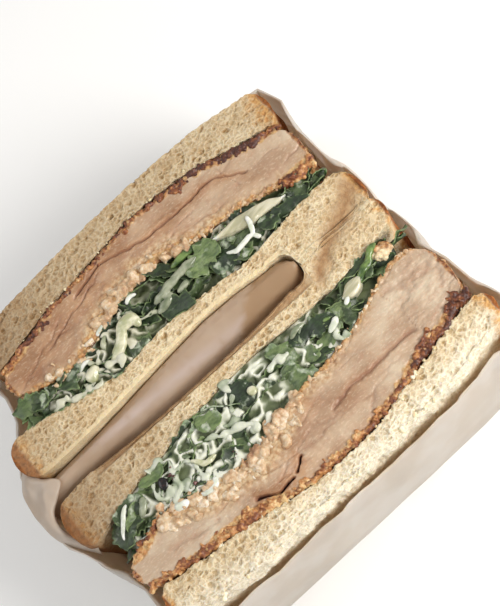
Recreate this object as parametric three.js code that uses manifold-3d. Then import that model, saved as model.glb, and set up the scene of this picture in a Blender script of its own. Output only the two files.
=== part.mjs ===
// A fried chicken sandwich, cut almost through and folded open back to back, so that both cut
// faces look up. Each half stands on its crust edge. From the middle plane outwards a half holds
// the inner slice, the dressed greens, the chicken and the outer slice. The inner slice wasn't
// cut at one end, so it is one piece that bridges both halves there. The paper that it was
// wrapped in stands round the sides and rises in a fold between the halves.
//
// Millimetres, +Z up. X runs along the cut, half A lies towards +Y and half B towards -Y, and the
// origin is the centre of the bounding box's underside.

import * as THREE from "three";
import { mergeVertices } from "three/addons/utils/BufferGeometryUtils.js";
import { SimplexNoise } from "three/addons/math/SimplexNoise.js";
import Module from "manifold-3d";

const wasm = await Module();
wasm.setup();

// ---------- driving dimensions ----------

const CUT_HEIGHT = 56; // the cut faces above the table: half of a 112 mm slice
const PAPER = 0.6; // the wrap's thickness, both of its layers together
const CLEARANCE = 0.35; // between pieces that touch
const FOOT_HEIGHT = PAPER + CLEARANCE; // where the food starts above the table

// Where each layer starts and ends along X, at the cut face.
const ENDS = {
  innerBreadA: [-70.5, 54],
  innerBreadB: [-72.5, 55.5],
  greensA: [-65, 50.5],
  greensB: [-67, 54],
  chickenA: [-59.5, 51.5],
  chickenB: [-65, 57],
  outerBreadA: [-62, 52.5],
  outerBreadB: [-64, 59.5],
};

// How far each face lies from the middle plane at the cut, as knots [x, out].
// The hand that held the halves squeezed the bread thin in the middle of its length.
const FACES_A = {
  innerFace: [[-70, 3.2], [-46, 4.3], [-22, 6], [3, 7], [18, 5.4], [27, 4.2]],
  breadToGreens: [
    [-68, 18.6], [-48, 14.8], [-31, 11.4], [-16, 13], [4, 12], [19, 10.8], [34, 13], [53, 14.2],
  ],
  greensToChicken: [
    [-60, 25], [-41, 21], [-31, 23.6], [-18, 27.6], [-5, 28.6], [6, 25.8], [22, 24.6], [36, 21], [52, 16.8],
  ],
  chickenToBread: [
    [-60, 36], [-42, 40.4], [-22, 43], [0, 45.6], [12, 45.2], [26, 42.8], [38, 39.6], [52, 36.4],
  ],
  outerFace: [[-62, 49.5], [-20, 53], [5, 53.6], [30, 53], [52, 49.5]],
};
const FACES_B = {
  innerFace: [[-71, 6.6], [-58, 5], [-40, 6], [-12, 6.2], [9, 5.4], [24, 3.8]],
  breadToGreens: [
    [-68, 22.6], [-53, 18.2], [-37, 15.6], [-18, 12.6], [1, 11.6], [14, 12.4], [36, 12.2], [54, 8.6],
  ],
  greensToChicken: [
    [-64, 31.6], [-47, 27.8], [-34, 31.4], [-18, 32.6], [-3, 28.4], [13, 27], [30, 23], [41, 18.4],
    [56, 16.8],
  ],
  chickenToBread: [
    [-64, 43], [-50, 45.4], [-31, 47.4], [-12, 50.6], [6, 51.2], [20, 49.2], [33, 46], [50, 42.4], [58, 40],
  ],
  outerFace: [[-64, 54.5], [-44, 57.5], [-17, 57], [6, 56], [40, 54.5], [59, 50]],
};

// The same faces at the foot, where the slices keep their own thickness.
const FOOT_A = {
  innerFace: 4.6, breadToGreens: 17, greensToChicken: 23, chickenToBread: 38, outerFace: 51,
};
const FOOT_B = {
  innerFace: 5, breadToGreens: 17.5, greensToChicken: 24, chickenToBread: 41, outerFace: 54.5,
};

// The uncut end of the inner slice.
const BRIDGE = { from: 22, round: 5, to: 50.5, depth: 12, overlap: 0.8, valley: 2.4 };

// The paper's fold between the halves, and the wall that it makes round them.
const FOLD = {
  top: CUT_HEIGHT - 4, from: -77.4, hollowFrom: -74, highTo: 22.5, play: 0.8, crown: 4.5,
  lowTop: CUT_HEIGHT - BRIDGE.depth - 9, lowFrom: 12, lowTo: 49, lowPlay: 1.5,
};
const WRAP_FOOT_RADIUS = 5;

// The wrap's outer skin seen from above, and the height of its rim, as knots [x, y, rim].
const WRAP_OUTLINE = [
  [-78, 2, 51], [-77.5, -15, 49], [-73, -27, 46], [-69.5, -42, 44], [-67.5, -54, 43], [-61, -60.5, 42],
  [-40, -61.4, 40], [-15, -61, 43], [20, -60.4, 41], [46, -59.4, 44], [59, -57, 46], [64.2, -49, 48],
  [63, -34, 47], [61, -18, 45], [59.8, -2, 40], [58.6, 14, 46], [57, 30, 50], [57, 46, 51],
  [52, 55.4, 49], [28, 57.4, 46], [0, 58, 44], [-30, 57.6, 45], [-58, 55.6, 44], [-66.5, 48, 43],
  [-67.6, 36, 44], [-71, 24, 46], [-76, 14, 49],
];

// ---------- helpers ----------

const random = (() => {
  let seed = 20240611;
  return () => THREE.MathUtils.seededRandom(seed++);
})();
const noise = new SimplexNoise({ random });
const { clamp, lerp, smoothstep } = THREE.MathUtils;

// A smooth function through knots [x, value].
function through(knots) {
  const curve = new THREE.CubicInterpolant(knots.map((k) => k[0]), knots.map((k) => k[1]), 1);
  return (x) => curve.evaluate(clamp(x, knots[0][0], knots.at(-1)[0]))[0];
}

// How far a quarter round of this radius stands back at a distance from its start.
function roundedBy(radius, distance) {
  const left = 1 - clamp(distance / radius, 0, 1);
  return radius * (1 - Math.sqrt(1 - left * left));
}

function solidOf(positions, triangles) {
  const geometry = new THREE.BufferGeometry()
    .setAttribute("position", new THREE.Float32BufferAttribute(positions, 3))
    .setIndex(triangles);
  return toManifold(geometry);
}

function toManifold(geometry) {
  geometry.deleteAttribute("normal");
  geometry.deleteAttribute("uv");
  const merged = mergeVertices(geometry, 1e-4);
  const made = new wasm.Manifold(
    new wasm.Mesh({
      numProp: 3,
      vertProperties: merged.attributes.position.array,
      triVerts: new Uint32Array(merged.index.array),
    }),
  );
  if (made.volume() > 0) return made;
  const flipped = merged.index.array;
  for (let i = 0; i < flipped.length; i += 3) {
    [flipped[i + 1], flipped[i + 2]] = [flipped[i + 2], flipped[i + 1]];
  }
  return toManifold(merged);
}

// Where a layer's stations lie along X: close together where its ends are rounded.
function stationsBetween(start, end, endRadius, columns) {
  const ends = [0, 0.08, 0.4, 1].map((share) => share * endRadius);
  const middle = columns - 2 * ends.length + 2;
  const between = Array.from({ length: middle - 1 }, (_, i) =>
    lerp(start + endRadius, end - endRadius, (i + 1) / middle));
  return [...ends.map((d) => start + d), ...between, ...ends.map((d) => end - d).reverse()];
}

// A layer that stands on its edge: a wall between two wavy faces, with rounded ends and foot.
// side is +1 for half A and -1 for half B. near and far give its faces at (x, height share),
// lift(x, out, across) gives the relief of its cut face, and rough(x, z) of both its walls.
function layer({
  side, ends, near, far, lift = () => 0, rough = () => 0,
  foot = FOOT_HEIGHT, top = CUT_HEIGHT, endRadius = 4, footRadius = 4, bulge = 0, grow = 0,
  columns, rows, across,
}) {
  const positions = [];
  const triangles = [];
  const add = (x, out, z) => positions.push(x, side * out, z) / 3 - 1;

  const section = (share) => {
    const height = share * (top - foot);
    const setBack = roundedBy(footRadius, height);
    const swell = bulge * Math.sin(Math.PI * Math.sqrt(share));
    const start = ends[0] + setBack - swell - grow;
    const end = ends[1] - setBack + swell + grow;
    const z = lerp(foot - grow, top + grow, share);
    return stationsBetween(start, end, endRadius, columns).map((x, i) => {
      const atEnd = Math.min(x - start, end - x);
      const keep = 1 - roundedBy(1, atEnd / endRadius);
      const a = near(x, share) - grow + rough(x, z);
      const b = far(x, share) + grow - rough(x + 50, z);
      const half = Math.max(0.3, (b - a) / 2 - setBack) * (i % columns ? keep : 0);
      return { x, z, middle: (a + b) / 2, half };
    });
  };

  const rings = Array.from({ length: rows + 1 }, (_, j) => {
    const share = (j / rows) ** 1.25;
    const stations = section(share);
    const lid = j === 0 || j === rows;
    return stations.map(({ x, z, middle, half }, i) => {
      const atEnd = i === 0 || i === columns;
      const steps = lid ? across : 1;
      const line = Array.from({ length: steps + 1 }, (_, k) => {
        const t = (2 * k) / steps - 1;
        const raised = j === rows ? lift(x, middle + t * half, t) : 0;
        return atEnd && k ? -1 : add(x, middle + t * half, z + raised);
      });
      return atEnd ? line.fill(line[0]) : line;
    });
  });

  const quad = (a, b, c, d) => {
    if (a !== b && b !== c && a !== c) triangles.push(a, b, c);
    if (a !== c && c !== d && a !== d) triangles.push(a, c, d);
  };
  for (let i = 0; i < columns; i++) {
    for (let j = 0; j < rows; j++) {
      const [low, high] = [rings[j], rings[j + 1]];
      quad(low[i].at(0), low[i + 1].at(0), high[i + 1].at(0), high[i].at(0));
      quad(low[i + 1].at(-1), low[i].at(-1), high[i].at(-1), high[i + 1].at(-1));
    }
    for (let k = 0; k < across; k++) {
      const [under, over] = [rings[0], rings[rows]];
      quad(over[i][k], over[i + 1][k], over[i + 1][k + 1], over[i][k + 1]);
      quad(under[i + 1][k], under[i][k], under[i][k + 1], under[i + 1][k + 1]);
    }
  }
  return solidOf(positions, triangles);
}

// The five faces of a half as functions of x and the share of the height.
function facesOf(knots, foot) {
  const faces = {};
  for (const name of Object.keys(knots)) {
    const atCut = through(knots[name]);
    faces[name] = (x, share) => lerp(foot[name], atCut(x), smoothstep(share, 0, 1));
  }
  const open = faces.innerFace;
  faces.innerFace = (x, share) => lerp(open(x, share), -BRIDGE.overlap, bridged(x, share));
  faces.foldFace = open;
  return faces;
}

// 1 where the inner slice runs on from half to half, 0 where the fold of paper parts it.
function bridged(x, share) {
  const z = lerp(FOOT_HEIGHT, CUT_HEIGHT, share);
  const round = clamp((x - BRIDGE.from) / BRIDGE.round, 0, 1);
  const along = 1 - Math.sqrt(1 - round * round) - smoothstep(x, BRIDGE.to, BRIDGE.to + 3);
  return along * smoothstep(z, CUT_HEIGHT - BRIDGE.depth - 3, CUT_HEIGHT - BRIDGE.depth);
}

const away = (face, gap) => (x, share) => face(x, share) + gap;

const facesA = facesOf(FACES_A, FOOT_A);
const facesB = facesOf(FACES_B, FOOT_B);
const GAP = CLEARANCE / 2;

// ---------- bread ----------

const crumbLift = (x, out) => 0.35 * noise.noise(x / 5, out / 4);

// The cut faces of the inner slice sink into a crease where the halves fold apart.
function bridgeLift(x, out) {
  const shown = smoothstep(x, BRIDGE.from, BRIDGE.from + 9);
  return crumbLift(x, out) - shown * BRIDGE.valley * Math.exp(-((out / 3.2) ** 2));
}

function innerSlice(side, faces, ends, grow = 0) {
  return layer({
    side, ends, grow, near: faces.innerFace, far: away(faces.breadToGreens, -GAP), lift: bridgeLift,
    endRadius: 5, footRadius: 5, bulge: 1.2, columns: 28, rows: 6, across: 2,
  });
}

function outerSlice(side, faces, ends, grow = 0) {
  return layer({
    side, ends, grow, near: away(faces.chickenToBread, GAP), far: faces.outerFace, lift: crumbLift,
    endRadius: 4.5, footRadius: 5, bulge: 1.2, columns: 26, rows: 6, across: 2,
  });
}

// ---------- chicken ----------

// A long dent across the cut face, where two folds of the meat meet.
function groove(knots, depth, width) {
  const line = through(knots);
  const [first, last] = [knots[0][0], knots.at(-1)[0]];
  return (x, out) => {
    const shown = smoothstep(x, first - 3, first + 3) * (1 - smoothstep(x, last - 3, last + 3));
    return -depth * shown * Math.exp(-(((out - line(x)) / width) ** 2));
  };
}

const meatGroovesA = [
  groove([[-28, 37], [-18, 39.6], [2, 36], [24, 36], [34, 31]], 1.6, 1.3),
  groove([[-44, 30], [-30, 34.5], [-20, 37.5]], 0.9, 1.6),
];
const meatGroovesB = [
  groove([[-27, 43.5], [-18, 46.4], [-9, 43]], 2.6, 0.9),
  groove([[6, 38.6], [14, 37.6], [38, 37.2]], 1.8, 1.4),
];

// Crags of the fried coating: they only dent the layer's walls, which stay clear of the bread.
function crags(x, z) {
  return 0.55 + 0.55 * noise.noise(x / 3.4, z / 3.4) + 0.3 * noise.noise(x / 1.7, z / 2.1);
}

function cutlet(side, faces, ends, grooves, grow = 0) {
  const coating = (across) => 0.7 * Math.max(0, Math.abs(across) - 0.55);
  return layer({
    side, ends, grow, near: away(faces.greensToChicken, GAP), far: away(faces.chickenToBread, -GAP),
    lift: (x, out, across) =>
      0.5 * noise.noise(x / 11, out / 7) + coating(across) * noise.noise(x / 2.3, out / 2.3) +
      grooves.reduce((sum, dent) => sum + dent(x, out), 0),
    rough: grow ? () => 0 : crags, foot: FOOT_HEIGHT + 3, endRadius: 9, footRadius: 8, bulge: 0.8,
    columns: 34, rows: 7, across: 4,
  });
}

// ---------- onion ----------

// A petal of onion on its edge: a crescent, thick in the middle and pointed at both ends.
function onionPetal({ side, from, to, inner, thick, depth, grow = 0 }) {
  const bow = (x) => Math.sin(Math.PI * clamp((x - from) / (to - from), 0, 1));
  const near = (x) => lerp(inner[0], inner[1], (x - from) / (to - from)) - thick * 0.45 * bow(x);
  return layer({
    side, grow, ends: [from, to], near, far: (x) => near(x) + Math.max(0.8, thick * bow(x)),
    foot: CUT_HEIGHT - depth, top: CUT_HEIGHT + 0.6, endRadius: 2, footRadius: 2,
    columns: 12, rows: 3, across: 2,
  });
}

const ONION_A = { side: 1, from: 12.5, to: 38, inner: [22.2, 17.6], thick: 4.6, depth: 15 };
const ONION_B = { side: -1, from: 28.5, to: 37.5, inner: [17.2, 15.6], thick: 4.4, depth: 12 };

// ---------- dressed greens ----------

// A shred of leaf: a thin wavy strip with both faces split into triangles alike.
function leafShred({ x, out, z, length, height, turn, tilt, phase, side }) {
  const steps = 4;
  const thick = 0.9;
  const positions = [];
  const triangles = [];
  const place = new THREE.Matrix4()
    .makeTranslation(x, side * out, z)
    .multiply(new THREE.Matrix4().makeRotationFromEuler(new THREE.Euler(tilt, 0, turn)));
  for (let i = 0; i <= steps; i++) {
    const along = (i / steps - 0.5) * length;
    const wide = height * Math.sqrt(Math.max(0.08, 1 - (2 * i / steps - 1) ** 2));
    for (const [high, face] of [[0, -1], [1, -1], [1, 1], [0, 1]]) {
      const wave = 1.1 * Math.sin(i * 1.35 + phase + high * 0.8);
      const point = new THREE.Vector3(along, wave + (face * thick) / 2, (high - 0.5) * wide);
      positions.push(...point.applyMatrix4(place));
    }
  }
  for (let i = 0; i < steps; i++) {
    for (let k = 0; k < 4; k++) {
      const [a, b] = [4 * i + k, 4 * i + ((k + 1) % 4)];
      triangles.push(a, a + 4, b + 4, a, b + 4, b);
    }
  }
  const last = 4 * steps;
  triangles.push(0, 1, 2, 0, 2, 3, last, last + 2, last + 1, last, last + 3, last + 2);
  return solidOf(positions, triangles);
}

// A lump of creamy dressing.
function dressingLump(side, x, out, z, radius) {
  const lump = new THREE.IcosahedronGeometry(radius, 1);
  lump.scale(1.25, 0.8, 0.8);
  lump.rotateZ(random() * Math.PI);
  lump.translate(x, side * out, z);
  return toManifold(lump);
}

function greens({ side, faces, ends, shreds, lumps, keepClear }) {
  const near = away(faces.breadToGreens, CLEARANCE);
  const far = away(faces.greensToChicken, -CLEARANCE);
  const core = layer({
    side, ends: [ends[0] + 3, ends[1] - 2], near: away(near, 0.5), far: away(far, -0.5),
    foot: FOOT_HEIGHT + 2, top: CUT_HEIGHT - 1.6, lift: (x, out) => 1.1 * noise.noise(x / 4, out / 3),
    endRadius: 4, footRadius: 4, columns: 22, rows: 3, across: 3,
  });
  const middle = (x) => (near(x, 1) + far(x, 1)) / 2;
  const reach = (x) => (far(x, 1) - near(x, 1)) / 2 - 0.8;
  const pieces = [core];
  for (let i = 0; i < shreds; i++) {
    const x = lerp(ends[0] + 3, ends[1] - 3, (i + 0.5) / shreds);
    const place = ((i * 0.618) % 1) * 2 - 1;
    pieces.push(leafShred({
      side, x, out: middle(x) + place * reach(x) * 0.8, z: CUT_HEIGHT - 1.4 + 0.8 * random(),
      length: lerp(7, 13, random()), height: lerp(3.4, 5, random()),
      turn: side * lerp(-0.5, 0.5, random()), tilt: lerp(-0.5, 0.5, random()), phase: random() * 6,
    }));
  }
  for (let i = 0; i < lumps; i++) {
    const x = lerp(ends[0] + 8, ends[1] - 8, (i + 0.5) / lumps);
    const out = middle(x) + 0.5 * reach(x) * (random() - 0.5);
    pieces.push(dressingLump(side, x, out, CUT_HEIGHT - 1.8, 2.4));
  }
  const room = layer({
    side, ends: [ends[0] - 1.5, ends[1] + 1.5], near, far, foot: FOOT_HEIGHT + 1, top: CUT_HEIGHT + 1.6,
    endRadius: 2, footRadius: 2, columns: 26, rows: 4, across: 1,
  });
  const heap = wasm.Manifold.union(pieces).intersect(room);
  return largest(keepClear.reduce((left, other) => left.subtract(other), heap));
}

// What stays when the loose scraps are dropped.
function largest(solid) {
  return solid.decompose().reduce((best, piece) => (piece.volume() > best.volume() ? piece : best));
}

// ---------- a bit of coating that came off ----------

function coatingBit({ side, x, out, radius, grow = 0 }) {
  const bit = new THREE.IcosahedronGeometry(radius, 2);
  const point = new THREE.Vector3();
  const { position } = bit.attributes;
  for (let i = 0; i < position.count; i++) {
    point.fromBufferAttribute(position, i);
    const crag = 1 + 0.16 * noise.noise3d(point.x, point.y, point.z);
    point.setLength(radius * crag + grow);
    position.setXYZ(i, point.x * 1.15, point.y * 0.85, point.z);
  }
  bit.translate(x, side * out, CUT_HEIGHT - radius * 0.55);
  return toManifold(bit);
}

const BIT_B = { side: -1, x: 46, out: 13.8, radius: 3 };

// ---------- paper wrap ----------

const wrapOutline = new THREE.CatmullRomCurve3(
  WRAP_OUTLINE.map((knot) => new THREE.Vector3(...knot)),
  true,
);

// The filled space inside one skin of the wrap. inset is how far that skin lies inside the outer one.
function wrapBlock(inset, extraHeight) {
  const around = 52;
  const rows = 4;
  const positions = [];
  const triangles = [];
  const outline = wrapOutline.getSpacedPoints(around).slice(0, around);
  const inwards = outline.map((_, i) => {
    const along = new THREE.Vector3().subVectors(outline.at(i + 1 - around), outline.at(i - 1));
    return new THREE.Vector2(along.y, -along.x).normalize();
  });
  for (let j = 0; j <= rows; j++) {
    outline.forEach((point, i) => {
      const angle = (2 * Math.PI * i) / around;
      const rim = point.z + 0.9 * Math.sin(7 * angle) + 0.7 * Math.sin(13 * angle);
      const z = lerp(inset, rim + extraHeight, (j / rows) ** 1.7);
      const crumple = 0.7 * Math.sin(11 * angle + z / 9) + 0.5 * Math.sin(19 * angle - z / 7);
      const foot = 0.75 * roundedBy(WRAP_FOOT_RADIUS, z - inset);
      const setBack = inset + foot + 0.6 * crumple * smoothstep(z, 0, 20);
      positions.push(point.x - setBack * inwards[i].x, point.y - setBack * inwards[i].y, z);
    });
  }
  const middles = [0, rows].map((j) => {
    const height = j ? Math.max(...positions.filter((_, n) => n % 3 === 2)) : inset;
    return positions.push(-8, 0, height) / 3 - 1;
  });
  for (let i = 0; i < around; i++) {
    const next = (i + 1) % around;
    for (let j = 0; j < rows; j++) {
      const [low, high] = [j * around, (j + 1) * around];
      triangles.push(low + i, low + next, high + next, low + i, high + next, high + i);
    }
    triangles.push(middles[0], next, i, middles[1], rows * around + i, rows * around + next);
  }
  return solidOf(positions, triangles);
}

// The fold that rises between the halves, with a round crown. inset is how far this skin lies
// inside the outer one.
function foldBlock({ ends, top, play, inset, foot }) {
  return layer({
    side: 1, ends: [ends[0] + inset, ends[1] - inset], foot, top: CUT_HEIGHT,
    near: (x, share) => -facesB.foldFace(x, share) + play + inset,
    far: (x, share) => facesA.foldFace(x, share) - play - inset,
    lift: (x, out, across) =>
      top - inset - CUT_HEIGHT - FOLD.crown * (1 - Math.sqrt(1 - 0.98 * across * across)),
    endRadius: 4, footRadius: 0.01, columns: 14, rows: 2, across: 4,
  });
}

// The fold is high where the halves part, and low where the slice bridges it.
function fold(start, inset, foot) {
  const shared = { inset, foot };
  const high = foldBlock({ ends: [start, FOLD.highTo], top: FOLD.top, play: FOLD.play, ...shared });
  const low = foldBlock({
    ends: [FOLD.lowFrom, FOLD.lowTo], top: FOLD.lowTop, play: FOLD.lowPlay, ...shared,
  });
  return high.add(low);
}

function paperWrap() {
  const walls = wrapBlock(0, 0).subtract(wrapBlock(PAPER, 3));
  return walls.add(fold(FOLD.from, 0, PAPER / 2)).subtract(fold(FOLD.hollowFrom, PAPER, -4));
}

// ---------- the sandwich ----------

function material(colour, roughness) {
  return new THREE.MeshStandardMaterial({ color: colour, roughness, metalness: 0 });
}

const MATERIALS = {
  bread: material(0xd9c094, 0.9),
  chicken: material(0xc9a07c, 0.55),
  greens: material(0x5f7550, 0.5),
  onion: material(0xd5d2b4, 0.35),
  coating: material(0xb0703a, 0.8),
  paper: material(0xd8c8b8, 0.6),
};

const sandwich = new THREE.Group();

function piece(name, solid, look) {
  const { vertProperties, triVerts, numProp } = solid.getMesh();
  const points = [];
  for (let i = 0; i < vertProperties.length; i += numProp) {
    points.push(...vertProperties.subarray(i, i + 3));
  }
  const geometry = new THREE.BufferGeometry()
    .setAttribute("position", new THREE.Float32BufferAttribute(points, 3))
    .setIndex([...triVerts]);
  geometry.computeVertexNormals();
  const mesh = new THREE.Mesh(geometry, MATERIALS[look]);
  mesh.name = name;
  sandwich.add(mesh);
}

const onionRoomA = onionPetal({ ...ONION_A, grow: 2.4 * CLEARANCE });
const onionRoomB = onionPetal({ ...ONION_B, grow: 2.2 * CLEARANCE });
const bitRoomB = coatingBit({ ...BIT_B, grow: 1.5 * CLEARANCE });

piece("outer_bread_a", outerSlice(1, facesA, ENDS.outerBreadA), "bread");
piece("chicken_a", cutlet(1, facesA, ENDS.chickenA, meatGroovesA).subtract(onionRoomA), "chicken");
piece("onion_a", onionPetal(ONION_A), "onion");
piece("greens_a", greens({
  side: 1, faces: facesA, ends: ENDS.greensA, shreds: 12, lumps: 3, keepClear: [onionRoomA],
}), "greens");

piece("inner_bread", innerSlice(1, facesA, ENDS.innerBreadA)
  .add(innerSlice(-1, facesB, ENDS.innerBreadB)), "bread");

piece("greens_b", greens({
  side: -1, faces: facesB, ends: ENDS.greensB, shreds: 12, lumps: 4, keepClear: [onionRoomB, bitRoomB],
}), "greens");
piece("onion_b", onionPetal(ONION_B), "onion");
piece("coating_bit_b", coatingBit(BIT_B), "coating");
piece("chicken_b", cutlet(-1, facesB, ENDS.chickenB, meatGroovesB)
  .subtract(onionRoomB).subtract(bitRoomB), "chicken");
piece("outer_bread_b", outerSlice(-1, facesB, ENDS.outerBreadB), "bread");

piece("paper_wrap", paperWrap(), "paper");

// The origin goes to the centre of the bounding box's underside.
const box = new THREE.Box3().setFromObject(sandwich);
const middle = box.getCenter(new THREE.Vector3());
for (const mesh of sandwich.children) {
  mesh.position.set(-middle.x, -middle.y, -box.min.z);
}

export default sandwich;
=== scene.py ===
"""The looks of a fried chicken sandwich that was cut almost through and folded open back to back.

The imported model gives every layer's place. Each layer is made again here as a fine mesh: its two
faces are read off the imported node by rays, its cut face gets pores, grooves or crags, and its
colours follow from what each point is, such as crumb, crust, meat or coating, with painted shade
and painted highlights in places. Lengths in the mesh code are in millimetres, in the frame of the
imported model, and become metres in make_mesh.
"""

import math

import bmesh
import bpy
import numpy as np
from mathutils import Matrix, Vector
from mathutils.bvhtree import BVHTree


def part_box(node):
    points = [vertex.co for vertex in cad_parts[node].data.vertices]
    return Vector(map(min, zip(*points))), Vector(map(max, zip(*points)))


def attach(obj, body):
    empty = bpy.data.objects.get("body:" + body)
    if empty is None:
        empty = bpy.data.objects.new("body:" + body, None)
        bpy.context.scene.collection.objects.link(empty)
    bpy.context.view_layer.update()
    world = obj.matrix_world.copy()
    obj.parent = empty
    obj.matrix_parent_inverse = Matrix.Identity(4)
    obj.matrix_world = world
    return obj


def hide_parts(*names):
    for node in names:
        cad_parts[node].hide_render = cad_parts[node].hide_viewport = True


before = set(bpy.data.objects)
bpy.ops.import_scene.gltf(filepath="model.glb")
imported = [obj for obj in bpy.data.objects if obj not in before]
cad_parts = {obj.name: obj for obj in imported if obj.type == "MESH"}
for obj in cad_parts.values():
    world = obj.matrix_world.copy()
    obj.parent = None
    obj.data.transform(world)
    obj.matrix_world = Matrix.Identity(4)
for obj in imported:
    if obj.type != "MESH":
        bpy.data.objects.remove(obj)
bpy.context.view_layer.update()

MM = 0.001
FAR = 300.0  # farther out than any point of the sandwich

rng = np.random.default_rng(7)


# ---------- numbers that vary over a surface ----------

def smoothstep(low, high, x):
    t = np.clip((x - low) / (high - low), 0, 1)
    return t * t * (3 - 2 * t)


def through(knots, x):
    """A smooth curve through knots (x, value), by rounded steps between them."""
    xs, values = np.array(knots, float).T
    i = np.clip(np.searchsorted(xs, x) - 1, 0, len(xs) - 2)
    t = np.clip((x - xs[i]) / (xs[i + 1] - xs[i]), 0, 1)
    return values[i] + (values[i + 1] - values[i]) * t * t * (3 - 2 * t)


def hashed(cells, seed):
    """A random number from 0 to 1 for each integer cell in the last axis."""
    c = cells.astype(np.int64).astype(np.uint64)
    h = c[..., 0] * np.uint64(0x9E3779B97F4A7C15) + c[..., 1] * np.uint64(0xC2B2AE3D27D4EB4F)
    h = h + c[..., 2] * np.uint64(0x165667B19E3779F9) + np.uint64(seed * 7919 + 1)
    for _ in range(2):
        h = (h ^ (h >> np.uint64(31))) * np.uint64(0xD6E8FEB86659FD93)
    return ((h ^ (h >> np.uint64(32))) & np.uint64(0xFFFFFFFF)).astype(float) / 2**32


CORNERS = np.array([(i, j, k) for i in (0, 1) for j in (0, 1) for k in (0, 1)])


def noise(p, size, seed=0):
    """Smooth gradient noise from about -1 to 1. size is one length or three, in the units of p."""
    q = p / np.asarray(size, float)
    cell = np.floor(q)
    f = q - cell
    w = f * f * f * (f * (f * 6 - 15) + 10)
    total = np.zeros(len(p))
    for corner in CORNERS:
        at = cell + corner
        slope = np.stack([hashed(at, 3 * seed + a) for a in range(3)], -1) * 2 - 1
        share = np.prod(np.where(corner, w, 1 - w), -1)
        total += share * np.sum(slope * (f - corner), -1)
    return total * 1.7


def layered(p, size, octaves=3, seed=0):
    """Noise with finer and weaker noise on it."""
    size = np.asarray(size, float)
    total = sum(noise(p, size / 2**i, seed + 31 * i) / 2**i for i in range(octaves))
    return total / (2 - 2.0**(1 - octaves))


def swayed(p, by, size, octaves, seed):
    """Points moved about by up to by, along each axis with its own noise."""
    return p + by * np.stack([layered(p, size, octaves, seed + k) for k in range(3)], -1)


NEAR_CELLS = np.array([(i, j, k) for i in (-1, 0, 1) for j in (-1, 0, 1) for k in (-1, 0, 1)])


def cells(p, size, seed=0):
    """Distance to the nearest scattered point and to the next, in cell sizes, and its random number."""
    q = p / np.asarray(size, float)
    home = np.floor(q)
    first = np.full(len(p), 9.0)
    second = first.copy()
    number = np.zeros(len(p))
    for step in NEAR_CELLS:
        at = home + step
        centre = at + np.stack([hashed(at, 5 * seed + a + 11) for a in range(3)], -1)
        d = np.linalg.norm(centre - q, axis=-1)
        nearer = d < first
        second = np.where(nearer, first, np.minimum(second, d))
        number = np.where(nearer, hashed(at, 5 * seed + 17), number)
        first = np.where(nearer, d, first)
    return first, second, number


def blurred(values, sigma):
    """Values along the last axis, smoothed by a bell of sigma samples."""
    reach = int(3 * sigma) + 1
    bell = np.exp(-0.5 * (np.arange(-reach, reach + 1) / sigma) ** 2)
    padded = np.pad(values, [(0, 0)] * (values.ndim - 1) + [(reach, reach)], mode="edge")
    blur = lambda row: np.convolve(row, bell / bell.sum(), mode="valid")
    return np.apply_along_axis(blur, -1, padded)


# ---------- meshes ----------

def make_mesh(name, points, faces, marks, material):
    """A mesh object from points in millimetres. marks are named numbers for each point."""
    mesh = bpy.data.meshes.new(name)
    mesh.from_pydata(points * MM, [], faces)
    mesh.validate()
    for mark, values in marks.items():
        attribute = mesh.attributes.new(mark, "FLOAT", "POINT")
        attribute.data.foreach_set("value", np.asarray(values, np.float32))
    mesh.polygons.foreach_set("use_smooth", [True] * len(mesh.polygons))
    mesh.materials.append(material)
    piece = bpy.data.objects.new(name, mesh)
    bpy.context.scene.collection.objects.link(piece)
    return piece


def make_piece(name, points, faces, marks, material, slot, node=None):
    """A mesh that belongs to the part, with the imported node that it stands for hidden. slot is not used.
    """
    piece = make_mesh(name, points, faces, marks, material)
    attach(piece, "root")
    if node:
        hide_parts(node)


def joined(parts):
    """Several (points, faces, marks) as one."""
    points, faces, start = [], [], 0
    for part_points, part_faces, _ in parts:
        points.append(part_points)
        faces += [tuple(i + start for i in face) for face in part_faces]
        start += len(part_points)
    marks = {key: np.concatenate([marks[key] for _, _, marks in parts]) for key in parts[0][2]}
    return np.concatenate(points), faces, marks


def sheet(grid, thickness):
    """A closed thin solid round a grid of points: two faces and the rim between them."""
    n, m = grid.shape[:2]
    normal = np.cross(np.gradient(grid, axis=0), np.gradient(grid, axis=1))
    normal /= np.maximum(np.linalg.norm(normal, axis=-1, keepdims=True), 1e-9)
    offset = normal * thickness / 2
    points = np.concatenate([(grid + offset).reshape(-1, 3), (grid - offset).reshape(-1, 3)])
    index = np.arange(n * m).reshape(n, m)
    front = np.stack([index[:-1, :-1], index[1:, :-1], index[1:, 1:], index[:-1, 1:]], -1).reshape(-1, 4)
    rim = np.concatenate([index[0, :-1], index[:-1, -1], index[-1, :0:-1], index[:0:-1, 0]])
    beside = np.roll(rim, -1)
    sides = np.stack([rim, beside, beside + n * m, rim + n * m], -1)
    faces = np.concatenate([front, front[:, ::-1] + n * m, sides])
    return points, faces.tolist()


def bands(rings):
    """The quads between rings of point numbers that follow one another."""
    a, b = rings[:-1], rings[1:]
    return np.stack([a, b, np.roll(b, -1, 1), np.roll(a, -1, 1)], -1).reshape(-1, 4)


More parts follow.
